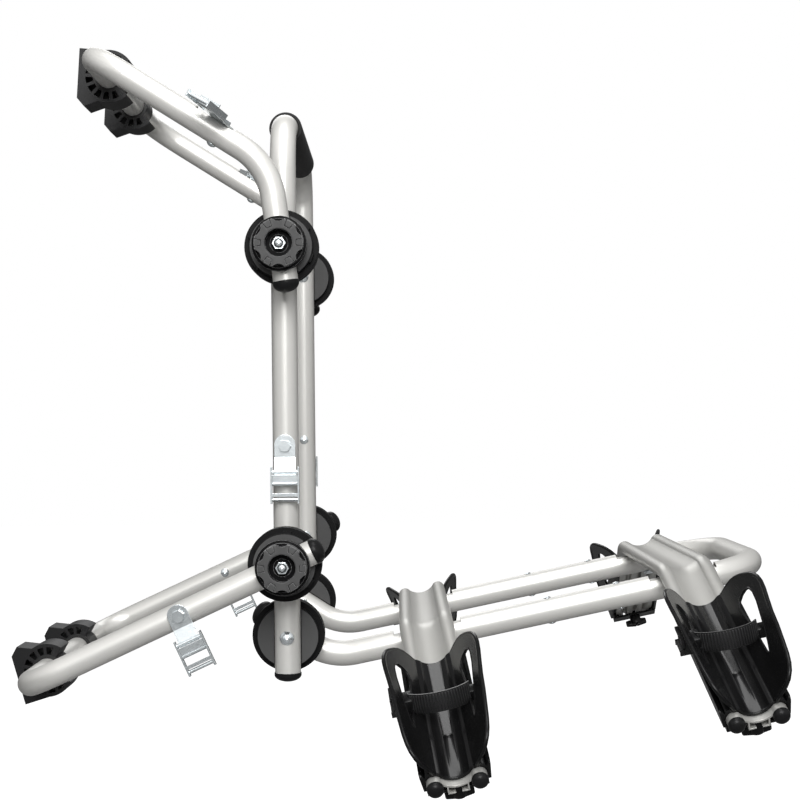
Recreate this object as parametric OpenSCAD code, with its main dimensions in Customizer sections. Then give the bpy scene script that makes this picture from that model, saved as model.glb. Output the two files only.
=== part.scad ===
// Hang-on bicycle rack: an upright frame, two folding arms that brace it on a
// vehicle's rear, and a folding platform with two arched wheel channels.
// X runs away from the vehicle, Y across it, Z up. The origin lies on the lower
// arm's hinge line, midway between the uprights.

/* [Tubes] */
// Outer diameter of the upright and platform tubes
frame_od = 30; // [28:0.5:32]
// Outer diameter of the arm tubes
arm_od = 28.6; // [26:0.2:29.6]
// Wall of every tube
tube_wall = 1.8; // [1.2:0.1:2.4]
// Centreline radius of the bends into the top bar
top_bend = 55; // [50:1:70]
// Centreline radius of the bends into the foot bars
foot_bend = 48; // [44:1:70]
// Centreline radius of the platform's end bends
loop_bend = 70; // [50:1:80]

/* [Upright frame] */
// Distance between the two upright tube axes
upright_span = 410; // [380:1:460]
// Height of the upper hinge above the lower one
hinge_rise = 360; // [330:1:420]
// Height of the top bar axis above the lower hinge
top_bar_z = 510; // [495:1:560]
// Depth of the platform hinge below the lower arm hinge
platform_drop = 87; // [86:1:100]
// Depth of the tube ends below the lower arm hinge
upright_foot = 128; // [126:1:140]
// Thickness of the foam on the top bar
foam_wall = 4.5; // [3:0.5:7]
// Length of the foam on the top bar
foam_length = 296; // [200:1:298]

/* [Upper arm] */
// Lean of the upper arm at its hinge, from vertical
upper_lean = 7.8; // [4:0.1:10]
// Distance from the hinge to the upper arm's bend
upper_rise = 92; // [86:1:110]
// Turn of the upper arm's bend
upper_turn = 49.8; // [40:0.1:56]
// Centreline radius of the upper arm's bend
upper_bend = 80; // [60:1:85]
// Distance from the bend to the upper foot bar
upper_reach = 239; // [220:1:280]

/* [Lower arm] */
// Slope of the lower arm below the horizontal
lower_slope = 24.6; // [15:0.1:30]
// Distance from the hinge to the lower foot bar
lower_reach = 325; // [300:1:360]

/* [Platform] */
// Slope of the platform's first stretch, downwards
drop_slope = 33; // [28:0.5:36]
// Distance from the hinge to the platform's bend
drop_length = 57.3; // [54:0.1:64]
// Centreline radius of the platform's bend
drop_bend = 70; // [60:1:90]
// Slope of the platform, upwards
platform_slope = 11.5; // [5:0.1:15]
// Distance from the bend to the end bar
platform_length = 520; // [515:1:580]
// Places of the two spare fixing holes along the platform
spare_holes = [265, 348.5];

/* [Hinges] */
// Diameter of the hinge bolts
bolt_d = 8; // [7:0.1:9]
// Diameter of the big friction discs
disc_d = 84; // [76:1:85]
// Distance from an upright axis out to an arm axis
arm_offset = 55.3; // [55:0.1:58]
// Distance from an upright axis in to a platform tube axis
platform_offset = 52; // [50:0.1:56]
// Length of the upper arm's tube past its hinge
upper_stub = 40; // [36:0.5:44]
// Length of the lower arm's tube past its hinge
lower_stub = 36; // [34:0.5:44]
// Length of the platform's tube past its hinge
platform_stub = 36.5; // [34:0.5:44]
// Length of the domed caps on the arms and the platform
cap_length = 13; // [10:0.5:16]
// Length of the domed caps under the uprights
foot_cap = 10.5; // [9:0.5:16]
// Diameter of the hand knobs
knob_d = 55.4; // [50:1:62]
// Depth of the hand knobs
knob_depth = 20; // [17:0.5:24]
// Gap between the two discs of a hinge
disc_gap = 0.4; // [0.3:0.05:0.6]
// Radial running clearance round the hinge bolts and foot bars
running = 0.08; // [0.04:0.01:0.1]

/* [Foot pads] */
// Distance of the pads from the centre plane
pad_place = 97; // [60:1:105]
// Width of a pad
pad_width = 50; // [40:1:66]
// Radius of a pad's wheel
pad_r = 32; // [30:0.5:36]
// Distance from the bar axis to the pad's flat face
pad_face = 36.5; // [34:0.5:42]
// Height of the pad's flat face
pad_height = 60; // [54:1:64]
// Tilt of the upper pads' faces
upper_pad_tilt = -3.8; // [-10:0.5:10]
// Tilt of the lower pads' faces
lower_pad_tilt = 15.8; // [5:0.1:20]

/* [Wheel channels] */
// Places of the two channels along the platform
channel_at = [118.5, 427.5];
// Distance between a channel's two round edges
lobe_gap = 46; // [44:0.5:50]
// Diameter of a channel's round edges
lobe_d = 17; // [16:0.5:18]
// Wall of the channels
channel_wall = 1.8; // [1.4:0.1:2]
// Height of the channel's edge axes above the platform axis
channel_rise = 20; // [19.5:0.1:23]
// Distance from the centre plane to each bend of a channel
channel_flat = 185; // [183:1:200]
// Fall of the channel's ends
channel_slope = 24.5; // [20:0.5:26]
// Length of each sloping end
channel_end = 313; // [308:1:340]
// Radius of a channel's bends
channel_bend = 70; // [60:1:80]
// Depth of the pressed seats under the channels
seat_depth = 5.5; // [5:0.5:8.5]

/* [Wheel holders] */
// Start of a holder, from the channel's bend
holder_start = 90; // [84:1:96]
// Length of a holder
holder_length = 214; // [200:1:216]
// Height of the ears' tips above the channel's edge axes
ear_height = 66; // [62:1:70]
// Wall of the holders
holder_wall = 3; // [2.4:0.1:3.4]
// Width of a ratchet strap
strap_w = 21; // [18:0.5:24]
// Thickness of a ratchet strap
strap_t = 2.4; // [1.6:0.1:3]
// Clearance between a holder and its channel
slide_gap = 0.35; // [0.3:0.05:0.5]

/* [Strap buckles] */
// Width of the bracket plate
plate_w = 24; // [22:0.5:27]
// Width of the buckle body over its cheeks
buckle_w = 33; // [31:0.5:38]
// Height of the upper buckle bolts on the uprights
upright_buckle_z = 134; // [130:1:200]
// Distance of the buckles along the lower arm
lower_buckle_at = 129; // [120:1:170]
// Distance of the buckles from the upper arm's bend
upper_buckle_at = 67; // [60:1:110]
// Thickness of the buckles' sheet steel
sheet = 2; // [1.5:0.1:2.2]

/* [Hidden] */

frame_r = frame_od / 2;
arm_r = arm_od / 2;
bolt_r = bolt_d / 2;
disc_r = disc_d / 2;
knob_r = knob_d / 2;
lobe_r = lobe_d / 2;
upright_y = upright_span / 2;
arm_y = upright_y + arm_offset;
platform_y = upright_y - platform_offset;

// Sheet of air kept between parts that only lie against each other
touch = 0.05;
// Gap between moving parts that don't bear on each other
free_gap = 0.35;
fine = 96;
medium = 48;

// Bends are this much slimmer than the straight tube, whose ends lap over them
bend_step = 0.03;
bend_lap = 0.4;

// Bolt heads and nuts
hex_r = bolt_d * 0.94;
nut_h = 6.5;
head_r = 8.2;
head_h = 4.6;
tube_hole_r = bolt_r + 0.35;
small_bolt_r = 3;
small_hex_r = 7.4;
small_head_h = 4;

// Hinge stack, measured outwards from an upright axis
arm_split = (frame_r + arm_offset - arm_r) / 2;
platform_split = platform_offset / 2;
saddle_in = 4;
saddle_face = arm_r + 3;
saddle_gap = 0.8;
disc_rim = 6;
boss_r = 30;
knob_from = arm_offset + saddle_face + disc_gap;
nut_from = knob_from + 6 + free_gap;

// Upper arm, in its own plane
upper_dir = 90 + upper_lean;
upper_end_dir = upper_dir + upper_turn;
upper_vertex = [
    upper_rise * cos(upper_dir),
    hinge_rise + upper_rise * sin(upper_dir)
];
upper_foot = upper_vertex + upper_reach * [cos(upper_end_dir), sin(upper_end_dir)];
lower_dir = 180 + lower_slope;
lower_foot = lower_reach * [cos(lower_dir), sin(lower_dir)];

// Platform
platform_vertex = [
    drop_length * cos(drop_slope),
    -platform_drop - drop_length * sin(drop_slope)
];
platform_turn = drop_slope + platform_slope;

// Wheel channel and its end slopes
channel_tan = channel_bend * tan(channel_slope / 2);
seat_level = frame_r - seat_depth;
seat_half = lobe_gap / 2 + lobe_r + 9;
web_dip = -1.6;
web_r = 24;
slot_out = 11.25;
slot_in = 9.6;
slot_mouth = 3.3;
cross_bolt_r = 2;
cross_bolt_h = -6.3;
cross_bolt_y = platform_y - 25;
slot_bottom = seat_level + touch - channel_rise;
slot_lip = 1.6;

// Wheel holder, s along the slope and h above the channel's edge axes
holder_end = holder_start + holder_length;
ear_tip_s = holder_start + 60;
ear_foot_u = lobe_gap / 2 + lobe_r + slide_gap;
ear_flare = 8.2;
holder_grip = 7.5;
strap_at = holder_start + 114;
strap_h = 33;
strap_bulge = 20;
strap_lean = 20;
strap_half = ear_foot_u + 1.2;
block_top = 12;
strap_base = ear_foot_u + holder_wall + touch - 0.4
    + ear_flare * (strap_h + block_top + holder_grip) / (ear_height + holder_grip);
lever_pin_r = 1.5;
lever_pin_u = -strap_base - 6.4 - free_gap - 3;
lever_pin_h = -2.6;
wing_at = holder_end - 9;
bridge_h = 3.3;

// Buckles
buckle_top = 13;
plate_foot = -13;
cheek_top = -24;
cheek_end = -66;
cheek_depth = 8;
cam_z = -42;
cam_y = 4.2;
cam_r = 3.6;
body_lift = free_gap + 1.2;
upper_buckle_turn = 64;
upper_dent = 3.5;
pin_r = 2;

// Places a child at one side: -1 is the near side, +1 the far side
module at_side(side) {
    if (side < 0)
        children();
    else
        mirror([0, 1, 0]) children();
}

// Turns a drawing in the XZ plane: X to the right, Y up, thickness along -Y
module stand() {
    rotate([90, 0, 0]) children();
}

// Cylinder along Y from y0 to y1, at x, z
module rod_y(r, y0, y1, x = 0, z = 0, n = fine) {
    translate([x, y0, z]) rotate([-90, 0, 0]) cylinder(r = r, h = y1 - y0, $fn = n);
}

// Straight tube core from a point along a direction in the XZ plane
module core(r, from, dir, length) {
    translate([from[0], 0, from[1]])
        rotate([0, 90 - dir, 0])
            cylinder(r = r, h = length, $fn = fine);
}

// Bend in the XZ plane that turns left from one direction to the next
module elbow(r, vertex, dir, turn, bend) {
    reach = bend * tan(turn / 2);
    start = vertex - reach * [cos(dir), sin(dir)];
    centre = start + bend * [-sin(dir), cos(dir)];
    translate([centre[0], 0, centre[1]])
        rotate([90, 0, 0])
            rotate([0, 0, dir - 90])
                rotate_extrude(angle = turn, $fn = 180)
                    translate([bend, 0]) circle(r = r - bend_step, $fn = medium);
}

// U of tube: two legs along X from `from`, and a cross bar along Y at `to`
module tube_u(r, from, to, half, bend) {
    rod_y(r, -half + bend - bend_lap, half - bend + bend_lap, x = to);
    for (side = [-1, 1])
        at_side(side) {
            translate([from, -half, 0])
                rotate([0, 90, 0])
                    cylinder(r = r, h = to - bend + bend_lap - from, $fn = fine);
            translate([to - bend, -half + bend, 0])
                rotate([0, 0, -90])
                    rotate_extrude(angle = 90, $fn = 180)
                        translate([bend, 0]) circle(r = r - bend_step, $fn = medium);
        }
}

// Domed plastic cap on a tube end, pointing along dir in the XZ plane
module end_cap(od, from, dir, length) {
    rim = 2.5;
    plug_r = od / 2 - tube_wall - touch;
    translate([from[0], 0, from[1]])
        rotate([0, 90 - dir, 0]) {
            translate([0, 0, -10]) cylinder(r = plug_r, h = 10 + touch, $fn = medium);
            translate([0, 0, touch])
                rotate_extrude($fn = fine)
                    intersection() {
                        union() {
                            square([od / 2 + 0.7, rim]);
                            translate([0, rim])
                                scale([od / 2 + 0.7, length - rim])
                                    circle(r = 1, $fn = fine);
                        }
                        square([od, length]);
                    }
        }
}

// Hexagon with its corners out at r, along Y
module hex_y(r, y0, y1, x = 0, z = 0) {
    translate([x, y0, z]) rotate([-90, 0, 0]) cylinder(r = r, h = y1 - y0, $fn = 6);
}

// Domed bolt head whose flat side faces +Y at y, near side
module dome_head(r, h, y, x = 0, z = 0) {
    ball = (r * r + h * h) / (2 * h);
    translate([x, y, z]) rotate([90, 0, 0])
        intersection() {
            cylinder(r = r, h = h, $fn = fine);
            translate([0, 0, h - ball]) sphere(r = ball, $fn = fine);
        }
}

// Friction disc of a hinge, drawn with its flat side at y = 0 and the tube that
// it carries at y = -tube_o, along X. Its raised face has a groove for the tube.
module disc_body(tube_o, tube_r, tabs) {
    face_r = disc_r - disc_rim;
    difference() {
        union() {
            rod_y(disc_r, -tube_o + tube_r + touch, 0);
            rod_y(face_r, -tube_o + saddle_in, -1);
            if (tabs)
                for (turn = [0 : 60 : 300])
                    rotate([0, turn, 0])
                        translate([face_r - 4, -tube_o + saddle_in + 1, -5])
                            cube([6, tube_o - saddle_in - 3, 10]);
        }
        translate([-disc_r - 5, -tube_o - 1, -tube_r - saddle_gap])
            cube([2 * disc_r + 10, tube_r + 1 - 3, 2 * (tube_r + saddle_gap)]);
        translate([-disc_r - 5, -tube_o, 0])
            rotate([0, 90, 0])
                cylinder(r = tube_r + touch, h = 2 * disc_r + 10, $fn = fine);
        rod_y(bolt_r + running, -tube_o - 10, 10, n = medium);
    }
}

// Place of a hinge disc: its flat side lies `split` outwards from the upright
// axis (inwards if negative), and it carries a tube that runs along dir
module disc_at(side, split, outward, dir, z) {
    at_side(side)
        translate([0, -upright_y - split, z])
            rotate([0, -dir, 0])
                scale_y(outward) children();
}

module scale_y(outward) {
    if (outward > 0)
        children();
    else
        mirror([0, 1, 0]) children();
}

// Outer saddle between an arm tube and its hand knob
module outer_saddle(dir, x, z) {
    translate([x, -upright_y, z]) difference() {
        rod_y(boss_r, -arm_offset - saddle_face, -arm_offset - saddle_in);
        rotate([0, -dir, 0])
            translate([-boss_r - 5, -arm_offset, 0])
                rotate([0, 90, 0])
                    cylinder(r = arm_r + touch, h = 2 * boss_r + 10, $fn = fine);
        rod_y(bolt_r + running, -arm_offset - 60, -arm_offset + 60, n = medium);
    }
}

// Hand knob on the near side, with six grip tabs and a deep bowl
module hand_knob(x, z) {
    rim_r = knob_r + 3.3;
    bowl_r = 15.5;
    floor_h = nut_from - knob_from;
    tab_w = 11;
    translate([x, -upright_y - knob_from, z]) difference() {
        union() {
            rod_y(rim_r, -knob_depth * 0.45, 0);
            rod_y(knob_r, -knob_depth, -knob_depth * 0.4);
            for (turn = [0 : 60 : 300])
                rotate([0, turn, 0])
                    translate([knob_r - 6, -knob_depth + 1.6, -tab_w / 2])
                        cube([8, knob_depth - 4, tab_w]);
        }
        for (turn = [30 : 60 : 330])
            rotate([0, turn, 0])
                rod_y(9, -knob_depth - 1, -knob_depth * 0.45 - 0.8, x = knob_r + 6.5);
        rod_y(bowl_r, -knob_depth - 1, -floor_h);
        rod_y(bolt_r + running, -knob_depth - 1, 1, n = medium);
    }
}

// Foot pad: most of a spoked wheel on the foot bar, with a flat plate toward -X.
// Drawn with the bar axis at the origin; its bevelled end points toward -Y.
module pad_outline() {
    rim = 4.2;
    bore = arm_r + running;
    hub_r = bore + 4.5;
    plate = 5;
    bevel = 9.5;
    high = 0.535 * pad_height;
    low = -0.465 * pad_height;
    open = 42;
    difference() {
        union() {
            difference() {
                union() {
                    circle(r = pad_r, $fn = fine);
                    polygon([
                        [-pad_face, high], [-pad_face, low],
                        [9 - pad_face, low - bevel], [-6, 3.5 - pad_r], [-4, pad_r - 0.6]
                    ]);
                }
                circle(r = pad_r - rim, $fn = fine);
                polygon([
                    [0, 0], [2 * pad_r * cos(open), 2 * pad_r * sin(open)], [3 * pad_r, 0],
                    [2 * pad_r * cos(open), -2 * pad_r * sin(open)]
                ]);
            }
            circle(r = hub_r, $fn = fine);
            for (turn = [-125 : 25 : 125])
                rotate(turn)
                    translate([1 - pad_r, -2]) square([pad_r - bore - 3, 4]);
            for (turn = [180 - open, open - 180])
                rotate(turn - (turn > 0 ? 4 : -4))
                    translate([0.8 - pad_r, -2]) square([pad_r - bore - 3, 4]);
        }
        circle(r = bore, $fn = fine);
    }
}

module foot_pad(side, foot, tilt, upside) {
    color([0.09, 0.09, 0.09])
        translate([foot[0], side * pad_place + pad_width / 2, foot[1]])
            rotate([90, -tilt, 0])
                linear_extrude(height = pad_width)
                    scale([1, upside])
                        pad_outline();
}

// Strap buckle in its own frame: bolt at the origin along Y, outwards to -Y,
// body hanging along -Z. The bracket plate clears its tube by free_gap.
module buckle_frame() {
    half = buckle_w / 2;
    bend_z = plate_foot;
    color([0.72, 0.74, 0.76]) difference() {
        union() {
            rod_y(plate_w / 2, -free_gap - sheet, -free_gap, z = buckle_top - plate_w / 2);
            translate([-plate_w / 2, -free_gap - sheet, bend_z])
                cube([plate_w, sheet, buckle_top - plate_w / 2 - bend_z]);
            translate([-plate_w / 2, -free_gap - sheet, bend_z])
                rotate([-10, 0, 0])
                    translate([0, 0, cheek_top - bend_z - 9])
                        cube([plate_w, sheet, bend_z - cheek_top + 9.5]);
            for (side = [-1, 1])
                translate([side < 0 ? -half : half - sheet, -body_lift - cheek_depth, cheek_end])
                    cube([sheet, cheek_depth, cheek_top - cheek_end]);
            translate([-half, -body_lift - cam_y, 0])
                rotate([0, 90, 0]) {
                    translate([5.6 - cheek_top, 0, 0])
                        cylinder(r = 2.4, h = buckle_w, $fn = medium);
                    translate([-cheek_end - 4.6, 0, 0])
                        cylinder(r = 2.2, h = buckle_w, $fn = medium);
                    translate([-cam_z, 0, 0])
                        cylinder(r = pin_r, h = buckle_w, $fn = medium);
                }
            translate([-half + sheet / 2, -body_lift - cheek_depth, cheek_end + 8])
                cube([buckle_w - sheet, sheet, 4]);
        }
        rod_y(small_bolt_r + running, -20, 10, n = medium);
    }
}

// Sprung cam lever of a buckle, turning about its cross pin
module buckle_cam() {
    inside = buckle_w / 2 - sheet - free_gap;
    lever_l = 11;
    color([0.62, 0.64, 0.66])
        translate([0, -body_lift - cam_y, cam_z])
            difference() {
                union() {
                    translate([-inside, 0, 0]) rotate([0, 90, 0])
                        cylinder(r = cam_r, h = 2 * inside, $fn = medium);
                    translate([-inside, -cam_r, -2]) cube([2 * inside, sheet, lever_l]);
                    translate([-inside, -cam_r - 4, -2]) cube([2 * inside, 4 + sheet / 2, sheet]);
                }
                translate([-inside - 1, 0, 0]) rotate([0, 90, 0])
                    cylinder(r = pin_r + running, h = 2 * inside + 2, $fn = medium);
            }
}

// Where the buckles sit on each frame
module on_upright(side) {
    at_side(side)
        translate([0, -upright_y - frame_r, upright_buckle_z]) children();
}

module on_lower_arm(side) {
    along = lower_buckle_at * [cos(lower_dir), sin(lower_dir)];
    at_side(side)
        translate([along[0], -arm_y - arm_r, along[1]])
            rotate([0, -lower_slope, 0]) children();
}

module on_upper_arm(side) {
    along = upper_vertex + upper_buckle_at * [cos(upper_end_dir), sin(upper_end_dir)];
    lift = arm_r - upper_dent;
    at_side(side)
        translate([along[0], -arm_y, along[1]])
            rotate([0, -upper_end_dir, 0])
                translate([0, 0, -lift])
                    rotate([90, 0, -90 - upper_buckle_turn]) children();
}

// Platform frame of reference: X along the sloping tubes, Z square to them
module on_platform() {
    translate([platform_vertex[0], 0, platform_vertex[1]])
        rotate([0, -platform_slope, 0]) children();
}

// End slope of a channel: Y runs back from the bend, Z square to the slope
module on_slope(which, side) {
    on_platform()
        translate([channel_at[which], 0, 0])
            at_side(side)
                translate([0, -channel_flat, channel_rise])
                    rotate([channel_slope, 0, 0]) children();
}

// Upright tube cores, for the outside and for the bore
module upright_core(r, past) {
    rotate([0, -90, 0])
        tube_u(r, -upright_foot - past, top_bar_z, upright_y, top_bend);
}

module upright_frame() {
    color([0.78, 0.77, 0.75]) difference() {
        upright_core(frame_r, 0);
        upright_core(frame_r - tube_wall, 1);
        for (z = [0, hinge_rise, -platform_drop])
            rod_y(tube_hole_r, -upright_y - 40, upright_y + 40, z = z, n = medium);
        rod_y(
            small_bolt_r + 0.3, -upright_y - 40, upright_y + 40,
            z = upright_buckle_z, n = medium
        );
    }
}

module top_bar_sleeve() {
    color([0.07, 0.07, 0.07]) difference() {
        rod_y(frame_r + foam_wall, -foam_length / 2, foam_length / 2, z = top_bar_z);
        rod_y(frame_r + touch, -foam_length, foam_length, z = top_bar_z);
    }
}

module upright_end_caps() {
    color([0.14, 0.14, 0.15])
        for (side = [-1, 1])
            translate([0, side * upright_y, 0])
                end_cap(frame_od, [0, -upright_foot], -90, foot_cap);
}

module upright_arm_discs() {
    color([0.33, 0.33, 0.34])
        for (side = [-1, 1], z = [0, hinge_rise])
            disc_at(side, arm_split - disc_gap / 2, -1, 90, z)
                disc_body(arm_split - disc_gap / 2, frame_r, false);
}

module upright_platform_discs() {
    color([0.33, 0.33, 0.34])
        for (side = [-1, 1])
            disc_at(side, disc_gap / 2 - platform_split, 1, 90, -platform_drop)
                disc_body(platform_split - disc_gap / 2, frame_r, false);
}

module upright_fasteners() {
    color([0.78, 0.8, 0.82])
        for (side = [-1, 1])
            at_side(side) {
                for (z = [0, hinge_rise]) {
                    rod_y(
                        bolt_r, -upright_y - nut_from - nut_h - 1,
                        -upright_y + frame_r + 1, z = z
                    );
                    dome_head(5.7, 4, 0.5 - upright_y - nut_from - nut_h, z = z);
                    hex_y(
                        hex_r, -upright_y - nut_from - nut_h, -upright_y - nut_from - touch,
                        z = z
                    );
                    translate([0, -2 * upright_y, 0]) mirror([0, 1, 0])
                        dome_head(head_r, head_h, -upright_y - frame_r - touch, z = z);
                }
                dome_head(head_r, head_h, -upright_y - frame_r - touch, z = -platform_drop);
                rod_y(
                    bolt_r, -upright_y - frame_r - 1,
                    -platform_y + frame_r + nut_h + 4, z = -platform_drop
                );
                hex_y(
                    hex_r, -platform_y + frame_r + free_gap,
                    -platform_y + frame_r + free_gap + nut_h, z = -platform_drop
                );
                rod_y(
                    small_bolt_r, -upright_y - frame_r - free_gap - sheet - 1,
                    -upright_y + frame_r + 1, z = upright_buckle_z
                );
                hex_y(
                    small_hex_r, -upright_y - frame_r - 2 * free_gap - sheet - small_head_h,
                    -upright_y - frame_r - 2 * free_gap - sheet, z = upright_buckle_z
                );
                translate([0, -2 * upright_y, 0]) mirror([0, 1, 0])
                    dome_head(6, 3, -upright_y - frame_r - touch, z = upright_buckle_z);
            }
}

// Upper arm cores
module upper_core(r, past) {
    hinge = [0, hinge_rise];
    reach = upper_bend * tan(upper_turn / 2);
    for (side = [-1, 1])
        translate([0, side * arm_y, 0]) {
            core(
                r, hinge - (upper_stub + past) * [cos(upper_dir), sin(upper_dir)], upper_dir,
                upper_rise - reach + upper_stub + past + bend_lap
            );
            elbow(r, upper_vertex, upper_dir, upper_turn, upper_bend);
        }
    translate([upper_vertex[0], 0, upper_vertex[1]])
        rotate([0, -upper_end_dir, 0])
            tube_u(r, reach - bend_lap, upper_reach, arm_y, foot_bend);
}

// Block over the pressed seats of the upper arm's buckles
module upper_dents(sink) {
    along = upper_vertex + upper_buckle_at * [cos(upper_end_dir), sin(upper_end_dir)];
    for (side = [-1, 1])
        translate([along[0], side * arm_y, along[1]])
            rotate([0, -upper_end_dir, 0])
                translate([-17, -arm_r - 5, -arm_r - 10])
                    cube([52, 2 * arm_r + 10, 10 + upper_dent + sink]);
}

module upper_arm_frame() {
    along = upper_vertex + upper_buckle_at * [cos(upper_end_dir), sin(upper_end_dir)];
    color([0.78, 0.77, 0.75]) difference() {
        upper_core(arm_r, 0);
        upper_dents(0);
        difference() {
            upper_core(arm_r - tube_wall, 1);
            upper_dents(tube_wall);
        }
        rod_y(tube_hole_r, -arm_y - 40, arm_y + 40, z = hinge_rise, n = medium);
        for (side = [-1, 1])
            translate([along[0], side * arm_y, along[1]])
                rotate([0, -upper_end_dir, 0])
                    cylinder(r = small_bolt_r + 0.3, h = 3 * arm_od, center = true, $fn = medium);
    }
}

module upper_arm_end_caps() {
    color([0.14, 0.14, 0.15])
        for (side = [-1, 1])
            translate([0, side * arm_y, 0])
                end_cap(
                    arm_od, [0, hinge_rise] - upper_stub * [cos(upper_dir), sin(upper_dir)],
                    upper_dir + 180, cap_length
                );
}

module upper_arm_discs() {
    color([0.33, 0.33, 0.34])
        for (side = [-1, 1]) {
            disc_at(side, arm_split + disc_gap / 2, 1, upper_dir, hinge_rise)
                disc_body(arm_offset - arm_split - disc_gap / 2, arm_r, true);
            at_side(side) outer_saddle(upper_dir, 0, hinge_rise);
        }
}

// Bolt that holds a buckle, in the buckle's frame, through a tube of size od
module buckle_bolt(od) {
    rod_y(small_bolt_r, -free_gap - sheet - 1, od + 1);
    hex_y(small_hex_r, -2 * free_gap - sheet - small_head_h, -2 * free_gap - sheet);
    translate([0, od, 0]) mirror([0, 1, 0]) dome_head(6, 3, -touch);
}

module upper_arm_bolts() {
    color([0.78, 0.8, 0.82])
        for (side = [-1, 1])
            on_upper_arm(side) buckle_bolt(arm_od - upper_dent);
}

// Lower arm cores
module lower_core(r, past) {
    rotate([0, -lower_dir, 0])
        tube_u(r, -lower_stub - past, lower_reach, arm_y, foot_bend);
}

module lower_arm_frame() {
    along = lower_buckle_at * [cos(lower_dir), sin(lower_dir)];
    color([0.78, 0.77, 0.75]) difference() {
        lower_core(arm_r, 0);
        lower_core(arm_r - tube_wall, 1);
        rod_y(tube_hole_r, -arm_y - 40, arm_y + 40, n = medium);
        rod_y(
            small_bolt_r + 0.3, -arm_y - 40, arm_y + 40,
            x = along[0], z = along[1], n = medium
        );
    }
}

module lower_arm_end_caps() {
    color([0.14, 0.14, 0.15])
        for (side = [-1, 1])
            difference() {
                translate([0, side * arm_y, 0])
                    end_cap(
                        arm_od, -lower_stub * [cos(lower_dir), sin(lower_dir)],
                        lower_dir + 180, cap_length
                    );
                at_side(side) rod_y(disc_r + free_gap, -arm_y + arm_r, -arm_y + arm_r + 5);
            }
}

module lower_arm_discs() {
    color([0.33, 0.33, 0.34])
        for (side = [-1, 1]) {
            disc_at(side, arm_split + disc_gap / 2, 1, lower_dir, 0)
                disc_body(arm_offset - arm_split - disc_gap / 2, arm_r, true);
            at_side(side) outer_saddle(lower_dir, 0, 0);
        }
}

module lower_arm_bolts() {
    color([0.78, 0.8, 0.82])
        for (side = [-1, 1])
            on_lower_arm(side) buckle_bolt(arm_od);
}

module knob_at(side, z) {
    color([0.33, 0.33, 0.34]) at_side(side) hand_knob(0, z);
}

// Platform cores
module platform_core(r, past) {
    hinge = [0, -platform_drop];
    reach = drop_bend * tan(platform_turn / 2);
    for (side = [-1, 1])
        translate([0, side * platform_y, 0]) {
            core(
                r, hinge - (platform_stub + past) * [cos(drop_slope), -sin(drop_slope)],
                -drop_slope, drop_length - reach + platform_stub + past + bend_lap
            );
            elbow(r, platform_vertex, -drop_slope, platform_turn, drop_bend);
        }
    on_platform() tube_u(r, reach - bend_lap, platform_length, platform_y, loop_bend);
}

// Blocks over the pressed seats of the channels
module channel_seats(sink) {
    on_platform()
        for (at = channel_at, side = [-1, 1])
            translate([at - seat_half, side * platform_y - frame_r - 5, seat_level - sink])
                cube([2 * seat_half, frame_od + 10, frame_od]);
}

module platform_frame() {
    color([0.84, 0.84, 0.83]) difference() {
        platform_core(frame_r, 0);
        channel_seats(0);
        difference() {
            platform_core(frame_r - tube_wall, 1);
            channel_seats(tube_wall);
        }
        rod_y(tube_hole_r, -platform_y - 40, platform_y + 40, z = -platform_drop, n = medium);
        on_platform()
            for (at = concat(channel_at, spare_holes), side = [-1, 1])
                translate([at, side * platform_y, 0])
                    cylinder(r = small_bolt_r + 0.3, h = 3 * frame_od, center = true, $fn = medium);
    }
}

module platform_end_caps() {
    color([0.14, 0.14, 0.15])
        for (side = [-1, 1])
            difference() {
                translate([0, side * platform_y, 0])
                    end_cap(
                        frame_od,
                        [0, -platform_drop] - platform_stub * [cos(drop_slope), -sin(drop_slope)],
                        180 - drop_slope, cap_length
                    );
                at_side(side)
                    rod_y(
                        disc_r + free_gap, -platform_y - frame_r - 5, -platform_y - frame_r,
                        z = -platform_drop
                    );
            }
}

module platform_discs() {
    color([0.33, 0.33, 0.34]) difference() {
        for (side = [-1, 1])
            disc_at(side, -platform_split - disc_gap / 2, -1, -drop_slope, -platform_drop)
                disc_body(platform_split - disc_gap / 2, frame_r, false);
        for (side = [-1, 1])
            translate([0, side * platform_y, 0])
                elbow(
                    frame_r + bend_step + touch, platform_vertex, -drop_slope,
                    platform_turn, drop_bend
                );
    }
}

// Bolts up into the channels and blind rivets in the spare holes
module platform_fasteners() {
    color([0.78, 0.8, 0.82]) on_platform()
        for (side = [-1, 1])
            translate([0, side * platform_y, 0]) {
                for (at = channel_at)
                    translate([at, 0, 0]) {
                        translate([0, 0, -frame_r - 1])
                            cylinder(
                                r = small_bolt_r,
                                h = frame_r + channel_rise + slot_bottom + slot_lip + 4,
                                $fn = medium
                            );
                        translate([0, 0, channel_rise + slot_bottom + slot_lip + touch])
                            cylinder(r = small_hex_r, h = 2.4, $fn = 6);
                        translate([0, 0, -frame_r - touch - small_head_h])
                            cylinder(r = small_hex_r, h = small_head_h, $fn = 6);
                    }
                for (at = spare_holes)
                    translate([at, 0, 0]) {
                        cylinder(r = small_bolt_r, h = frame_od + 1, center = true, $fn = medium);
                        rotate([90, 0, 0]) dome_head(4.6, 1.6, -frame_r - touch);
                        rotate([-90, 0, 0]) dome_head(4.6, 1.6, -frame_r - touch);
                    }
            }
}

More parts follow.
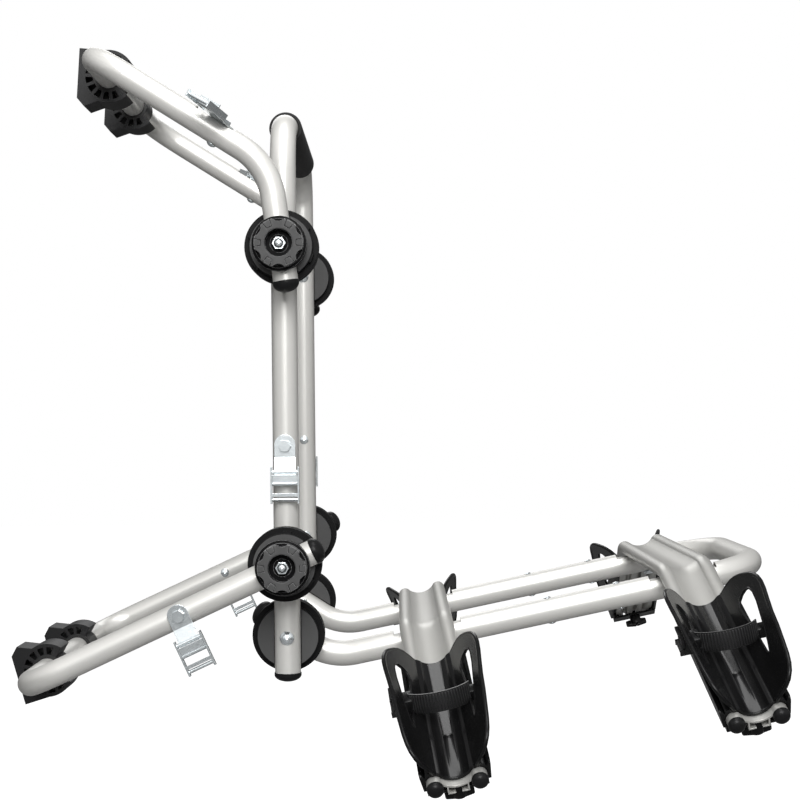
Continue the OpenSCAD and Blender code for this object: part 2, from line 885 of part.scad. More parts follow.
// Section of a wheel channel: X across it, Y up, its edge axes at Y = 0.
// Every face is drawn thin behind the true one.
module channel_section(thin) {
    web_top = web_dip + web_r;
    difference() {
        union() {
            for (side = [-1, 1])
                translate([side * lobe_gap / 2, 0]) circle(r = lobe_r - thin, $fn = medium);
            intersection() {
                difference() {
                    translate([0, web_top])
                        circle(r = web_r + channel_wall + 0.4 - thin, $fn = fine);
                    translate([0, web_top]) circle(r = web_r + thin, $fn = fine);
                }
                translate([-lobe_gap / 2 + 4, -6]) square([lobe_gap - 8, 12]);
            }
            difference() {
                translate([-slot_out + thin, slot_bottom + thin])
                    square([2 * (slot_out - thin), web_dip - slot_bottom]);
                translate([0, web_top]) circle(r = web_r + channel_wall / 2, $fn = fine);
            }
        }
        difference() {
            translate([-slot_in - thin, slot_bottom + slot_lip - thin])
                square([2 * (slot_in + thin), web_dip - slot_bottom]);
            translate([0, web_top])
                circle(r = web_r + channel_wall + 0.4 - thin, $fn = fine);
        }
        translate([-slot_mouth - thin, slot_bottom - 1])
            square([2 * (slot_mouth + thin), slot_lip + 2]);
        for (side = [-1, 1])
            translate([side * lobe_gap / 2, 0])
                circle(r = lobe_r - channel_wall + thin, $fn = medium);
    }
}

module wheel_channel(which) {
    color([0.76, 0.76, 0.75]) difference() {
        union() {
            on_platform()
                translate([channel_at[which], 0, channel_rise]) {
                    stand()
                        linear_extrude(
                            height = 2 * (channel_flat - channel_tan + bend_lap), center = true
                        )
                            channel_section(0);
                    for (side = [-1, 1])
                        at_side(side)
                            translate([0, channel_tan - channel_flat, -channel_bend])
                                rotate([0, -90, 0])
                                    rotate([0, 0, -channel_slope])
                                        rotate_extrude(angle = channel_slope, $fn = 180)
                                            translate([channel_bend, 0])
                                                rotate(-90) channel_section(bend_step);
                }
            for (side = [-1, 1])
                on_slope(which, side)
                    translate([0, bend_lap - channel_tan, 0])
                        stand()
                            linear_extrude(height = channel_end - channel_tan + bend_lap)
                                channel_section(0);
        }
        on_platform()
            translate([channel_at[which], 0, channel_rise + cross_bolt_h])
                for (side = [-1, 1])
                    translate([-20, side * cross_bolt_y, 0])
                        rotate([0, 90, 0])
                            cylinder(r = cross_bolt_r + 0.2, h = 40, $fn = medium);
    }
}

module channel_end_caps() {
    color([0.14, 0.14, 0.15])
        for (which = [0, 1], side = [-1, 1], edge = [-1, 1])
            on_slope(which, side)
                translate([edge * lobe_gap / 2, -channel_end, 0])
                    rotate([90, 0, 0]) {
                        translate([0, 0, -8])
                            cylinder(
                                r = lobe_r - channel_wall - touch, h = 8 + touch, $fn = medium
                            );
                        translate([0, 0, touch])
                            dome_end();
                    }
}

module dome_end() {
    rotate_extrude($fn = medium)
        intersection() {
            union() {
                square([lobe_r + 0.4, 2]);
                translate([0, 2]) scale([lobe_r + 0.4, 6.5]) circle(r = 1, $fn = medium);
            }
            square([20, 20]);
        }
}

// Small bolts across the channels' slots, beside the platform tubes
module channel_cross_bolts() {
    color([0.78, 0.8, 0.82]) on_platform()
        for (at = channel_at, side = [-1, 1])
            translate([at, side * cross_bolt_y, channel_rise + cross_bolt_h])
                rotate([0, 90, 0]) {
                    cylinder(r = cross_bolt_r, h = 2 * slot_out + 7, center = true, $fn = medium);
                    for (turn = [0, 180])
                        rotate([turn, 0, 0])
                            translate([0, 0, slot_out + touch])
                                cylinder(r = 4.2, h = 3, $fn = 6);
                }
}

// Space over the channel's top, `by` above it, for the holder's section
module over_channel(by, top) {
    for (side = [-1, 1])
        translate([side * lobe_gap / 2, 0]) circle(r = lobe_r + by, $fn = medium);
    difference() {
        translate([-lobe_gap / 2, -20]) square([lobe_gap, 20 + top]);
        translate([0, web_dip + web_r]) circle(r = web_r - by, $fn = fine);
    }
}

// Cross-section of a holder: a floor over the channel and two flaring ears
module holder_section() {
    difference() {
        union() {
            over_channel(slide_gap + holder_wall, 8);
            for (side = [-1, 1])
                scale([side, 1])
                    polygon([
                        [ear_foot_u - 2, -holder_grip], [ear_foot_u + holder_wall, -holder_grip],
                        [ear_foot_u + holder_wall + ear_flare, ear_height],
                        [ear_foot_u + ear_flare, ear_height], [ear_foot_u, 4],
                        [ear_foot_u - 2, 4]
                    ]);
        }
        over_channel(slide_gap, 7.5);
        translate([-60, -30 - holder_grip]) square([120, 30]);
    }
}

// Bridge under the channel that carries the wing knob
module bridge_section() {
    low = slot_bottom - slide_gap - bridge_h;
    difference() {
        translate([-ear_foot_u, low]) square([2 * ear_foot_u, -4 - low]);
        for (side = [-1, 1])
            translate([side * lobe_gap / 2, 0]) circle(r = lobe_r + slide_gap, $fn = medium);
        translate([-lobe_gap / 2 - 1, slot_bottom - slide_gap]) square([lobe_gap + 2, 20]);
    }
}

// Points on a round corner
function arc(centre, r, from, to, steps = 6) = [
    for (i = [0 : steps])
        centre + r * [
            cos(from + (to - from) * i / steps),
            sin(from + (to - from) * i / steps)
        ]
];

// Side outline of a holder: X is the distance along the slope, Y the height
module holder_outline() {
    tip = [ear_tip_s + 4, ear_height - 12];
    heel = [holder_end - 26, 13];
    polygon(concat(
        [[holder_start, -30], [holder_start, 12]],
        arc(tip, 12, 140, 65),
        arc(heel, 14, 65, 20),
        [[holder_end, 9], [holder_end, -30]]
    ));
}

// Window in an ear, in the same outline axes
module ear_window() {
    polygon(concat(
        arc([ear_tip_s + 8, ear_height - 19], 7, 170, 65),
        arc([strap_at + 30, strap_h - 8], 4, 65, -110, 8),
        arc([ear_tip_s + 8, strap_h - 3], 5, -110, -190)
    ));
}

module wheel_holder(which, side) {
    color([0.06, 0.06, 0.06]) on_slope(which, side)
        difference() {
            union() {
                intersection() {
                    translate([0, -holder_start, 0]) stand()
                        linear_extrude(height = holder_length) holder_section();
                    translate([60, 0, 0]) rotate([90, 0, -90])
                        linear_extrude(height = 120) holder_outline();
                }
                translate([0, 9 - wing_at, 0]) stand()
                    linear_extrude(height = 18) bridge_section();
                translate([0, -holder_end + 70, web_dip + 1])
                    cylinder(r = 5, h = slide_gap + holder_wall + 0.8, $fn = medium);
            }
            translate([60, 0, 0]) rotate([90, 0, -90])
                linear_extrude(height = 120) ear_window();
            translate([0, -holder_end + 70, -20])
                cylinder(r = 10, h = 20 + web_dip + slide_gap, $fn = medium);
            translate([0, -wing_at, -30])
                cylinder(r = small_bolt_r + free_gap, h = 25, $fn = medium);
        }
}

// Ratchet strap over the holder, with its ratchet's base outside one ear
module ratchet_strap(which, side) {
    ring = (strap_half * strap_half + strap_bulge * strap_bulge) / (2 * strap_bulge);
    color([0.05, 0.05, 0.05]) on_slope(which, side)
        translate([0, -strap_at, strap_h]) {
            difference() {
                rotate([-strap_lean, 0, 0])
                    translate([0, ring - strap_bulge, -strap_w / 2])
                        intersection() {
                            difference() {
                                cylinder(r = ring + strap_t / 2, h = strap_w, $fn = fine);
                                translate([0, 0, -1])
                                    cylinder(r = ring - strap_t / 2, h = strap_w + 2, $fn = fine);
                            }
                            translate([-strap_half, -ring - 5, -1])
                                cube([2 * strap_half, strap_bulge + 7, strap_w + 2]);
                        }
                translate([0, 50, -strap_h]) stand()
                    linear_extrude(height = 100) over_channel(slide_gap + holder_wall + 0.3, 8);
            }
            translate([-strap_base - 3, -4, -6.5])
                cube([strap_base - strap_half + 7, 8, 8]);
            translate([strap_half - 4, -4, -6.5]) cube([strap_base - strap_half + 5, 8, 8]);
            translate([-strap_base - 6.4, -12, -6]) cube([6, 24, block_top + 6]);
            translate([strap_base + 0.4, -6, -8]) cube([1.6, 12, 11]);
            for (end = [-12, 10 + free_gap])
                translate([-strap_base - 13, end, -6])
                    cube([7, 2 - free_gap, lever_pin_h + 9]);
            rod_y(lever_pin_r, -11, 11, x = lever_pin_u, z = lever_pin_h, n = medium);
        }
}

module ratchet_lever(which, side) {
    color([0.05, 0.05, 0.05]) on_slope(which, side)
        translate([lever_pin_u, -strap_at, strap_h + lever_pin_h])
            difference() {
                union() {
                    translate([0, -10, 0]) cube([3, 20, 20]);
                    rod_y(3, -10, 10, n = medium);
                    translate([-2, -10, 17]) cube([3, 20, 3]);
                }
                rod_y(lever_pin_r + running, -11, 11, n = medium);
            }
}

// Wing knob under a channel, with its square plate in the slot
module wing_knob(which, side) {
    wing_l = 15.5;
    top = slot_bottom - slide_gap - bridge_h - free_gap;
    color([0.06, 0.06, 0.06]) on_slope(which, side)
        translate([0, -wing_at, 0]) {
            translate([0, 0, top - 11]) cylinder(r = 7.5, h = 11, $fn = medium);
            translate([-wing_l, -3, top - 15]) cube([2 * wing_l, 6, 11]);
            translate([0, 0, top - 1])
                cylinder(
                    r = small_bolt_r,
                    h = slot_bottom + slot_lip + free_gap + 1 - top + 0.6, $fn = medium
                );
            translate([0, 0, slot_bottom + slot_lip + free_gap])
                cylinder(r = slot_in - 1.6, h = 1.6, $fn = medium);
        }
}

upright_frame();
top_bar_sleeve();
upright_end_caps();
upright_arm_discs();
upright_platform_discs();
upright_fasteners();
upper_arm_frame();
upper_arm_end_caps();
upper_arm_discs();
upper_arm_bolts();
lower_arm_frame();
lower_arm_end_caps();
lower_arm_discs();
lower_arm_bolts();
knob_at(-1, hinge_rise);  // upper_knob_left
knob_at(1, hinge_rise);  // upper_knob_right
knob_at(-1, 0);  // lower_knob_left
knob_at(1, 0);  // lower_knob_right
foot_pad(-1, upper_foot, upper_pad_tilt, 1);  // upper_pad_left
foot_pad(1, upper_foot, upper_pad_tilt, 1);  // upper_pad_right
foot_pad(-1, lower_foot, lower_pad_tilt, -1);  // lower_pad_left
foot_pad(1, lower_foot, lower_pad_tilt, -1);  // lower_pad_right
platform_frame();
platform_end_caps();
platform_discs();
platform_fasteners();
wheel_channel(0);  // inner_channel
wheel_channel(1);  // outer_channel
channel_end_caps();
channel_cross_bolts();
wheel_holder(0, -1);  // inner_holder_left
wheel_holder(0, 1);  // inner_holder_right
wheel_holder(1, -1);  // outer_holder_left
wheel_holder(1, 1);  // outer_holder_right
ratchet_strap(0, -1);  // inner_strap_left
ratchet_strap(0, 1);  // inner_strap_right
ratchet_strap(1, -1);  // outer_strap_left
ratchet_strap(1, 1);  // outer_strap_right
ratchet_lever(0, -1);  // inner_ratchet_left
ratchet_lever(0, 1);  // inner_ratchet_right
ratchet_lever(1, -1);  // outer_ratchet_left
ratchet_lever(1, 1);  // outer_ratchet_right
wing_knob(0, -1);  // inner_wing_left
wing_knob(0, 1);  // inner_wing_right
wing_knob(1, -1);  // outer_wing_left
wing_knob(1, 1);  // outer_wing_right
on_upright(-1) buckle_frame();  // upright_buckle_left
on_upright(1) buckle_frame();  // upright_buckle_right
on_lower_arm(-1) buckle_frame();  // lower_buckle_left
on_lower_arm(1) buckle_frame();  // lower_buckle_right
on_upper_arm(-1) buckle_frame();  // upper_buckle_left
on_upper_arm(1) buckle_frame();  // upper_buckle_right
on_upright(-1) buckle_cam();  // upright_cam_left
on_upright(1) buckle_cam();  // upright_cam_right
on_lower_arm(-1) buckle_cam();  // lower_cam_left
on_lower_arm(1) buckle_cam();  // lower_cam_right
on_upper_arm(-1) buckle_cam();  // upper_cam_left
on_upper_arm(1) buckle_cam();  // upper_cam_right
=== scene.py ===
import math

import bpy
from bpy.props import FloatProperty, FloatVectorProperty, IntProperty, PointerProperty
from mathutils import Matrix, Vector


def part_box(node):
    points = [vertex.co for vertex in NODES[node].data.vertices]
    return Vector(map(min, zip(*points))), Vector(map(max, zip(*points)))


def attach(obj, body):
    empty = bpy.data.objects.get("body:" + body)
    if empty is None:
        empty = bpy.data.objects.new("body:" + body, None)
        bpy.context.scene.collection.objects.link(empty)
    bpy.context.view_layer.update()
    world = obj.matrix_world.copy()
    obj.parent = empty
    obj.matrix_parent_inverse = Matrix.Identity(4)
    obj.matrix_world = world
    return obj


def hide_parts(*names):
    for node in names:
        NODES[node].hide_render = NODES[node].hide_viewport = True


bl_info = {
    "name": "Folding Rear Rack Looks",
    "version": (1, 0, 0),
    "blender": (4, 5, 0),
    "location": "View3D > Sidebar > Rear Rack",
    "description": "Finishes and fine pieces for a folding rear rack with wheel channels",
    "category": "Object",
}

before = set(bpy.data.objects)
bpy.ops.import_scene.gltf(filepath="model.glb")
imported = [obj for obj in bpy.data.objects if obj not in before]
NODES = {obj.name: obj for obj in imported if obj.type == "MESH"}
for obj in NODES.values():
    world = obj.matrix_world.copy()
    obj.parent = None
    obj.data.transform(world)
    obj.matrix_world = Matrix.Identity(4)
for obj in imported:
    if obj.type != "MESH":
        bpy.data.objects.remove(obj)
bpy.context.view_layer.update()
SIDES = (("left", -1), ("right", 1))
MM = 0.001

# Places that the frame's source gives, in millimetres and degrees
HINGE_RISE = 360.0
PLATFORM_DROP = 87.0
TUBE_R = 15.0
TOP_BAR_Z = 510.0
SLEEVE_LENGTH = 296.0
SLEEVE_R = 19.5
DROP_SLOPE = 33.0
DROP_LENGTH = 57.3
PLATFORM_SLOPE = 11.5
CHANNEL_AT = (118.5, 427.5)
CHANNEL_RISE = 20.0
CHANNEL_FLAT = 185.0
CHANNEL_SLOPE = 24.5
LOBE_GAP = 46.0
SLOT_OUT = 11.25
SLOT_BOTTOM = -10.45
HOLDER_END = 304.0
EAR_ROOT = 17.0
EAR_LOW = 7.0
EAR_LEAN = 0.545
EAR_WALL = 3.0
RIM_LOW = 12.5
COVER_TOP = 11.9
WEB_DIP = -1.6
WEB_R = 24.0
# Outlines on an ear's inner face: distance down the channel and height above it
EAR_OUTLINE = (
    (91, 10.5), (92, 13), (94, 22), (98, 31), (105, 39), (113, 45.5), (123, 52), (134, 58.5),
    (144, 62.5), (154, 65), (165, 66), (178, 65), (196, 62), (216, 59), (240, 57), (262, 54),
    (283, 51), (295, 48), (303, 44), (308, 38), (309, 31), (307, 22), (305, 14), (304, 10.5),
)
EAR_WINDOW = (
    (139.5, 37), (142, 44), (149, 49.5), (160, 51.5), (178, 50.5), (198, 47), (220, 43),
    (240, 38.5), (250, 35.5), (252, 33), (248, 31.5), (230, 31), (205, 30), (180, 28.5),
    (155, 26), (147, 26), (141, 30.5),
)
WING_AT = 295.0
WING_TOP = -14.45
HUB_FACE_R = 35.2
PAD_HUB_R = 18.9
STRAP_AT = 204.0
STRAP_H = 33.0
STRAP_W = 21.0
STRAP_T = 2.4
STRAP_LEAN = 20.0
STRAP_BULGE = 20.0
STRAP_HALF = 33.05
FOOT_UPPER = (-214.28, 579.21)
FOOT_LOWER = (-295.50, -135.29)

# Sizes of the scene's own pieces, in millimetres
SLEEVE_GAP = 0.06
SLEEVE_EDGE = 1.8
KNOB_SKIRT_R = 30.7
KNOB_SKIRT_H = 8.5
KNOB_R = 27.5
KNOB_DEPTH = 20.0
KNOB_SHOULDER = 0.6
KNOB_EDGE = 0.8
BOWL_EDGE = 1.0
BOWL_DEPTH = 12.4
BOWL_SEAT = 5.2
BORE_R = 4.1
NOTCH_R = 9.5
NOTCH_LENGTH = 30.0
NOTCH_BACK = -9.9
NOTCH_OUT = 5.6
TAB_START = 19.0
TAB_PAST = 4.0
TAB_HALF_IN = 3.6
TAB_HALF_OUT = 5.6
TAB_LINE_DEPTH = 2.2
RIB_SHARE = 0.58
RIB_MARGIN = 2.4
RIB_REACH = 0.93
RIM_OUT = 2.0
BEAD_OUT = 0.7
LIP_R = 1.2
LIP_LOBE_R = 10.85
LIP_WEB_R = 21.65
LIP_BACK = 0.6
RATCHET_BLOCK = ((-40.2, -214.0, 26.0), (-29.0, -194.0, 42.0))
ANCHOR_BLOCK = ((29.0, -211.0, 24.5), (40.2, -197.0, 36.0))
WING_BOSS_R = 8.0
WING_HALF = 15.5
WING_THICK = 8.0
WING_DEEP = 12.0
WING_BLADE_Z = -9.5
WING_TAPER = (1.0, 0.6, 0.72)
WING_SOFT = 1.9
STEM_R = 2.9
SIDE_SLOT = (0.5, 17.0, 4.4)
SIDE_SLOT_RIM = 0.5
SIDE_SLOT_DIP = 0.3
SIDE_SLOT_OUT = 0.1
SIDE_SLOT_TOP = -2.2
SIDE_SLOT_AT = (-95.0, -55.0, 55.0, 95.0)

# Lamps: name, power setting, place, aim and width in metres
LAMPS = (
    ("key_lamp", "key", (0.25, -3.1, 1.75), (0.12, 0, 0.15), 2.2),
    ("top_lamp", "top", (0.2, -0.6, 2.6), (0.12, 0, 0.1), 1.8),
    ("back_lamp", "fill", (-0.3, 2.8, 1.8), (0.1, 0, 0.1), 1.8),
)
CAMERA_AT = Vector((0.1294, -2.205, 0.17265))
CAMERA_RIGHT = Vector((0.99995, 0.0, -0.01047))
CAMERA_LENS = 77.85
CAMERA_SHIFT = (0.0034, 0.01375)
FLOOR_WIDTH = 24.0
FLOOR_GREY = 0.30


class TubeFinish(bpy.types.PropertyGroup):
    """Colours of the painted tubes and of the aluminium channels"""

    paint: FloatVectorProperty(
        name="Tube paint", description="Pale grey of the bent tubes",
        subtype="COLOR", size=3, min=0.0, max=1.0, default=(0.700, 0.692, 0.664),
    )
    channel: FloatVectorProperty(
        name="Channel metal", description="Satin aluminium of the wheel channels",
        subtype="COLOR", size=3, min=0.0, max=1.0, default=(0.560, 0.555, 0.530),
    )
    zinc: FloatVectorProperty(
        name="Zinc", description="Bright plating of bolts and buckles",
        subtype="COLOR", size=3, min=0.0, max=1.0, default=(0.820, 0.870, 0.890),
    )
    roughness: FloatProperty(
        name="Paint roughness", description="How dull the tube paint is",
        min=0.0, max=1.0, default=0.36, subtype="FACTOR",
    )


class PlasticFinish(bpy.types.PropertyGroup):
    """Colours of the moulded plastic and rubber"""

    face: FloatVectorProperty(
        name="Hub face", description="Dark grey of the grained hub faces and knobs",
        subtype="COLOR", size=3, min=0.0, max=1.0, default=(0.088, 0.088, 0.088),
    )
    black: FloatVectorProperty(
        name="Black plastic", description="Black of rims, caps and wheel holders",
        subtype="COLOR", size=3, min=0.0, max=1.0, default=(0.0065, 0.0065, 0.0068),
    )
    rubber: FloatVectorProperty(
        name="Rubber", description="Black of the foot pads and the foam",
        subtype="COLOR", size=3, min=0.0, max=1.0, default=(0.010, 0.010, 0.0105),
    )
    grain: FloatProperty(
        name="Grain", description="Size of the moulded grain",
        min=0.0001, max=0.005, default=0.0011, subtype="DISTANCE", unit="LENGTH",
    )


class KnobSizes(bpy.types.PropertyGroup):
    """Sizes of the hand knobs"""

    bowl: FloatProperty(
        name="Bowl radius", description="Radius of the bowl round the nut",
        min=0.010, max=0.018, default=0.0153, subtype="DISTANCE", unit="LENGTH",
    )
    tabs: IntProperty(
        name="Tabs", description="Number of outlined tabs on the face",
        min=3, max=12, default=6,
    )
    # The chamfer is painted light grey on the knobs, as a painted highlight along the edges
    chamfer: FloatProperty(
        name="Chamfer", description="Width of the rubbed chamfer along the edges",
        min=0.0001, max=0.001, default=0.0006, subtype="DISTANCE", unit="LENGTH",
    )
    groove: FloatProperty(
        name="Groove", description="Width of the line round each tab",
        min=0.0002, max=0.002, default=0.0010, subtype="DISTANCE", unit="LENGTH",
    )


class StrapSizes(bpy.types.PropertyGroup):
    """Sizes of the ribs on the wheel straps"""

    pitch: FloatProperty(
        name="Rib pitch", description="Distance from rib to rib",
        min=0.001, max=0.006, default=0.0031, subtype="DISTANCE", unit="LENGTH",
    )
    height: FloatProperty(
        name="Rib height", description="How far a rib stands proud",
        min=0.0002, max=0.002, default=0.0016, subtype="DISTANCE", unit="LENGTH",
    )


class HolderSizes(bpy.types.PropertyGroup):
    """Sizes of the rounded rims on the wheel holders"""

    bead: FloatProperty(
        name="Rim radius", description="Radius of the rounded rim along the ears",
        min=0.001, max=0.004, default=0.0023, subtype="DISTANCE", unit="LENGTH",
    )
    window_bead: FloatProperty(
        name="Window rim radius", description="Radius of the rounded edge round a window",
        min=0.0005, max=0.002, default=0.0012, subtype="DISTANCE", unit="LENGTH",
    )


class StageSettings(bpy.types.PropertyGroup):
    """Lamps and floor round the rack"""

    key: FloatProperty(
        name="Key lamp", description="Power of the large lamp above the camera",
        min=0.0, max=500.0, default=120.0, subtype="POWER", unit="POWER",
    )
    fill: FloatProperty(
        name="Back lamp", description="Power of the lamp behind the rack",
        min=0.0, max=500.0, default=18.0, subtype="POWER", unit="POWER",
    )
    top: FloatProperty(
        name="Top lamp", description="Power of the lamp over the rack",
        min=0.0, max=500.0, default=32.0, subtype="POWER", unit="POWER",
    )
    room: FloatProperty(
        name="Room light", description="How much the pale room lights the rack",
        min=0.0, max=1.0, default=0.10, subtype="FACTOR",
    )
    floor_height: FloatProperty(
        name="Floor height", description="Height of the floor below the lower hinge",
        min=-3.0, max=-0.3, default=-0.75, subtype="DISTANCE", unit="LENGTH",
    )


# Node groups

def group_socket(group, name, kind, into, value=None):
    socket = group.interface.new_socket(
        name=name, in_out="INPUT" if into else "OUTPUT", socket_type=kind
    )
    if value is not None:
        socket.default_value = value


def start_group(name, inputs, outputs):
    group = bpy.data.node_groups.new(name, "ShaderNodeTree")
    for key, kind, value in inputs:
        group_socket(group, key, kind, True, value)
    for key, kind in outputs:
        group_socket(group, key, kind, False)
    return group, group.nodes.new("NodeGroupInput"), group.nodes.new("NodeGroupOutput")


def math_node(tree, operation, first, second=None):
    node = tree.nodes.new("ShaderNodeMath")
    node.operation = operation
    for slot, value in enumerate((first, second)):
        if value is None:
            continue
        if isinstance(value, (int, float)):
            node.inputs[slot].default_value = value
        else:
            tree.links.new(value, node.inputs[slot])
    return node.outputs[0]


def map_range(tree, value, span, result):
    """A value moved from one span to another, held at the ends."""
    node = tree.nodes.new("ShaderNodeMapRange")
    for name, number in zip(("From Min", "From Max", "To Min", "To Max"), (*span, *result)):
        node.inputs[name].default_value = number
    tree.links.new(value, node.inputs["Value"])
    return node.outputs["Result"]


def make_grain_group():
    """Moulded grain: a height and a slow drift, on Object coordinates."""
    group, start, end = start_group(
        "moulded_grain",
        [("Grain Scale", "NodeSocketFloat", 900.0), ("Drift Scale", "NodeSocketFloat", 14.0),
         ("Stretch", "NodeSocketVector", (1.0, 1.0, 1.0))],
        [("Height", "NodeSocketFloat"), ("Drift", "NodeSocketFloat")],
    )
    place = group.nodes.new("ShaderNodeTexCoord")
    stretch = group.nodes.new("ShaderNodeVectorMath")
    stretch.operation = "MULTIPLY"
    group.links.new(place.outputs["Object"], stretch.inputs[0])
    group.links.new(start.outputs["Stretch"], stretch.inputs[1])
    fine = group.nodes.new("ShaderNodeTexNoise")
    fine.inputs["Detail"].default_value = 3.0
    slow = group.nodes.new("ShaderNodeTexNoise")
    slow.inputs["Detail"].default_value = 2.0
    group.links.new(stretch.outputs[0], fine.inputs["Vector"])
    group.links.new(place.outputs["Object"], slow.inputs["Vector"])
    group.links.new(start.outputs["Grain Scale"], fine.inputs["Scale"])
    group.links.new(start.outputs["Drift Scale"], slow.inputs["Scale"])
    group.links.new(fine.outputs["Fac"], end.inputs["Height"])
    group.links.new(slow.outputs["Fac"], end.inputs["Drift"])
    return group


def make_ring_group():
    """Mask that is 1 inside a radius round an axis along Y at a given X and Z."""
    group, start, end = start_group(
        "inside_ring",
        [("Centre X", "NodeSocketFloat", 0.0), ("Centre Z", "NodeSocketFloat", 0.0),
         ("Radius", "NodeSocketFloat", 0.035), ("Softness", "NodeSocketFloat", 0.0003)],
        [("Mask", "NodeSocketFloat")],
    )
    place = group.nodes.new("ShaderNodeTexCoord")
    parts = group.nodes.new("ShaderNodeSeparateXYZ")
    group.links.new(place.outputs["Object"], parts.inputs[0])
    across = math_node(group, "SUBTRACT", parts.outputs["X"], start.outputs["Centre X"])
    up = math_node(group, "SUBTRACT", parts.outputs["Z"], start.outputs["Centre Z"])
    across = math_node(group, "MULTIPLY", across, across)
    up = math_node(group, "MULTIPLY", up, up)
    radius = math_node(group, "SQRT", math_node(group, "ADD", across, up))
    inside = math_node(group, "SUBTRACT", start.outputs["Radius"], radius)
    inside = math_node(group, "DIVIDE", inside, start.outputs["Softness"])
    clamp = group.nodes.new("ShaderNodeClamp")
    group.links.new(inside, clamp.inputs["Value"])
    group.links.new(clamp.outputs[0], end.inputs["Mask"])
    return group


def make_tone_group():
    """Mixes two near colours by a value that changes slowly over the surface."""
    group, start, end = start_group(
        "tone_drift",
        [("Light", "NodeSocketColor", (1, 1, 1, 1)), ("Dark", "NodeSocketColor", (0, 0, 0, 1)),
         ("Drift", "NodeSocketFloat", 0.5)],
        [("Colour", "NodeSocketColor")],
    )
    ramp = map_range(group, start.outputs["Drift"], (0.35, 0.65), (0.0, 1.0))
    mix = group.nodes.new("ShaderNodeMix")
    mix.data_type = "RGBA"
    group.links.new(ramp, mix.inputs["Factor"])
    group.links.new(start.outputs["Light"], mix.inputs["A"])
    group.links.new(start.outputs["Dark"], mix.inputs["B"])
    group.links.new(mix.outputs["Result"], end.inputs["Colour"])
    return group


GROUPS = {}


def place_group(tree, key, **values):
    node = tree.nodes.new("ShaderNodeGroup")
    node.node_tree = GROUPS[key]
    for name, value in values.items():
        socket = node.inputs[name.replace("_", " ")]
        if hasattr(value, "is_output"):
            tree.links.new(value, socket)
        else:
            socket.default_value = value
    return node


def rgba(colour, factor=1.0):
    return tuple(min(1.0, c * factor) for c in colour) + (1.0,)


def finish_material(name, colour, roughness, metallic=0.0, grain=900.0, bump=0.1, drop=0.0002,
                    drift=14.0, tone=0.93, edge=0.0004, specular=0.5,
                    stretch=(1.0, 1.0, 1.0), spread=0.06):
    """A material with moulded or drawn grain, a slow drift of tone and softened edges."""
    material = bpy.data.materials.new(name)
    material.use_nodes = True
    tree = material.node_tree
    shader = tree.nodes["Principled BSDF"]
    shader.inputs["Metallic"].default_value = metallic
    shader.inputs["Specular IOR Level"].default_value = specular
    detail = place_group(
        tree, "grain", Grain_Scale=grain, Drift_Scale=drift, Stretch=stretch
    )
    tones = place_group(
        tree, "tone", Light=rgba(colour), Dark=rgba(colour, tone), Drift=detail.outputs["Drift"]
    )
    tree.links.new(tones.outputs["Colour"], shader.inputs["Base Color"])
    rough = map_range(
        tree, detail.outputs["Height"], (0.0, 1.0), (roughness - spread, roughness + spread)
    )
    tree.links.new(rough, shader.inputs["Roughness"])
    relief = tree.nodes.new("ShaderNodeBump")
    relief.inputs["Strength"].default_value = bump
    relief.inputs["Distance"].default_value = drop
    tree.links.new(detail.outputs["Height"], relief.inputs["Height"])
    if edge:
        soft = tree.nodes.new("ShaderNodeBevel")
        soft.samples = 6
        soft.inputs["Radius"].default_value = edge
        tree.links.new(soft.outputs["Normal"], relief.inputs["Normal"])
    tree.links.new(relief.outputs["Normal"], shader.inputs["Normal"])
    return material


def add_hub_faces(material, rim, centres, radius):
    """Grained grey inside `radius` of each centre and black outside it."""
    tree = material.node_tree
    shader = tree.nodes["Principled BSDF"]
    mask = None
    for x, z in centres:
        ring = place_group(tree, "ring", Centre_X=x, Centre_Z=z, Radius=radius)
        mask = ring.outputs["Mask"] if mask is None else math_node(
            tree, "MAXIMUM", mask, ring.outputs["Mask"]
        )
    mix = tree.nodes.new("ShaderNodeMix")
    mix.data_type = "RGBA"
    grey = shader.inputs["Base Color"].links[0].from_socket
    tree.links.new(mask, mix.inputs["Factor"])
    mix.inputs["A"].default_value = rgba(rim)
    tree.links.new(grey, mix.inputs["B"])
    tree.links.new(mix.outputs["Result"], shader.inputs["Base Color"])


def dress(names, material):
    for name in names:
        node = NODES[name]
        node.data.materials.clear()
        node.data.materials.append(material)
        node.data.polygons.foreach_set("material_index", [0] * len(node.data.polygons))


MATERIALS = {}


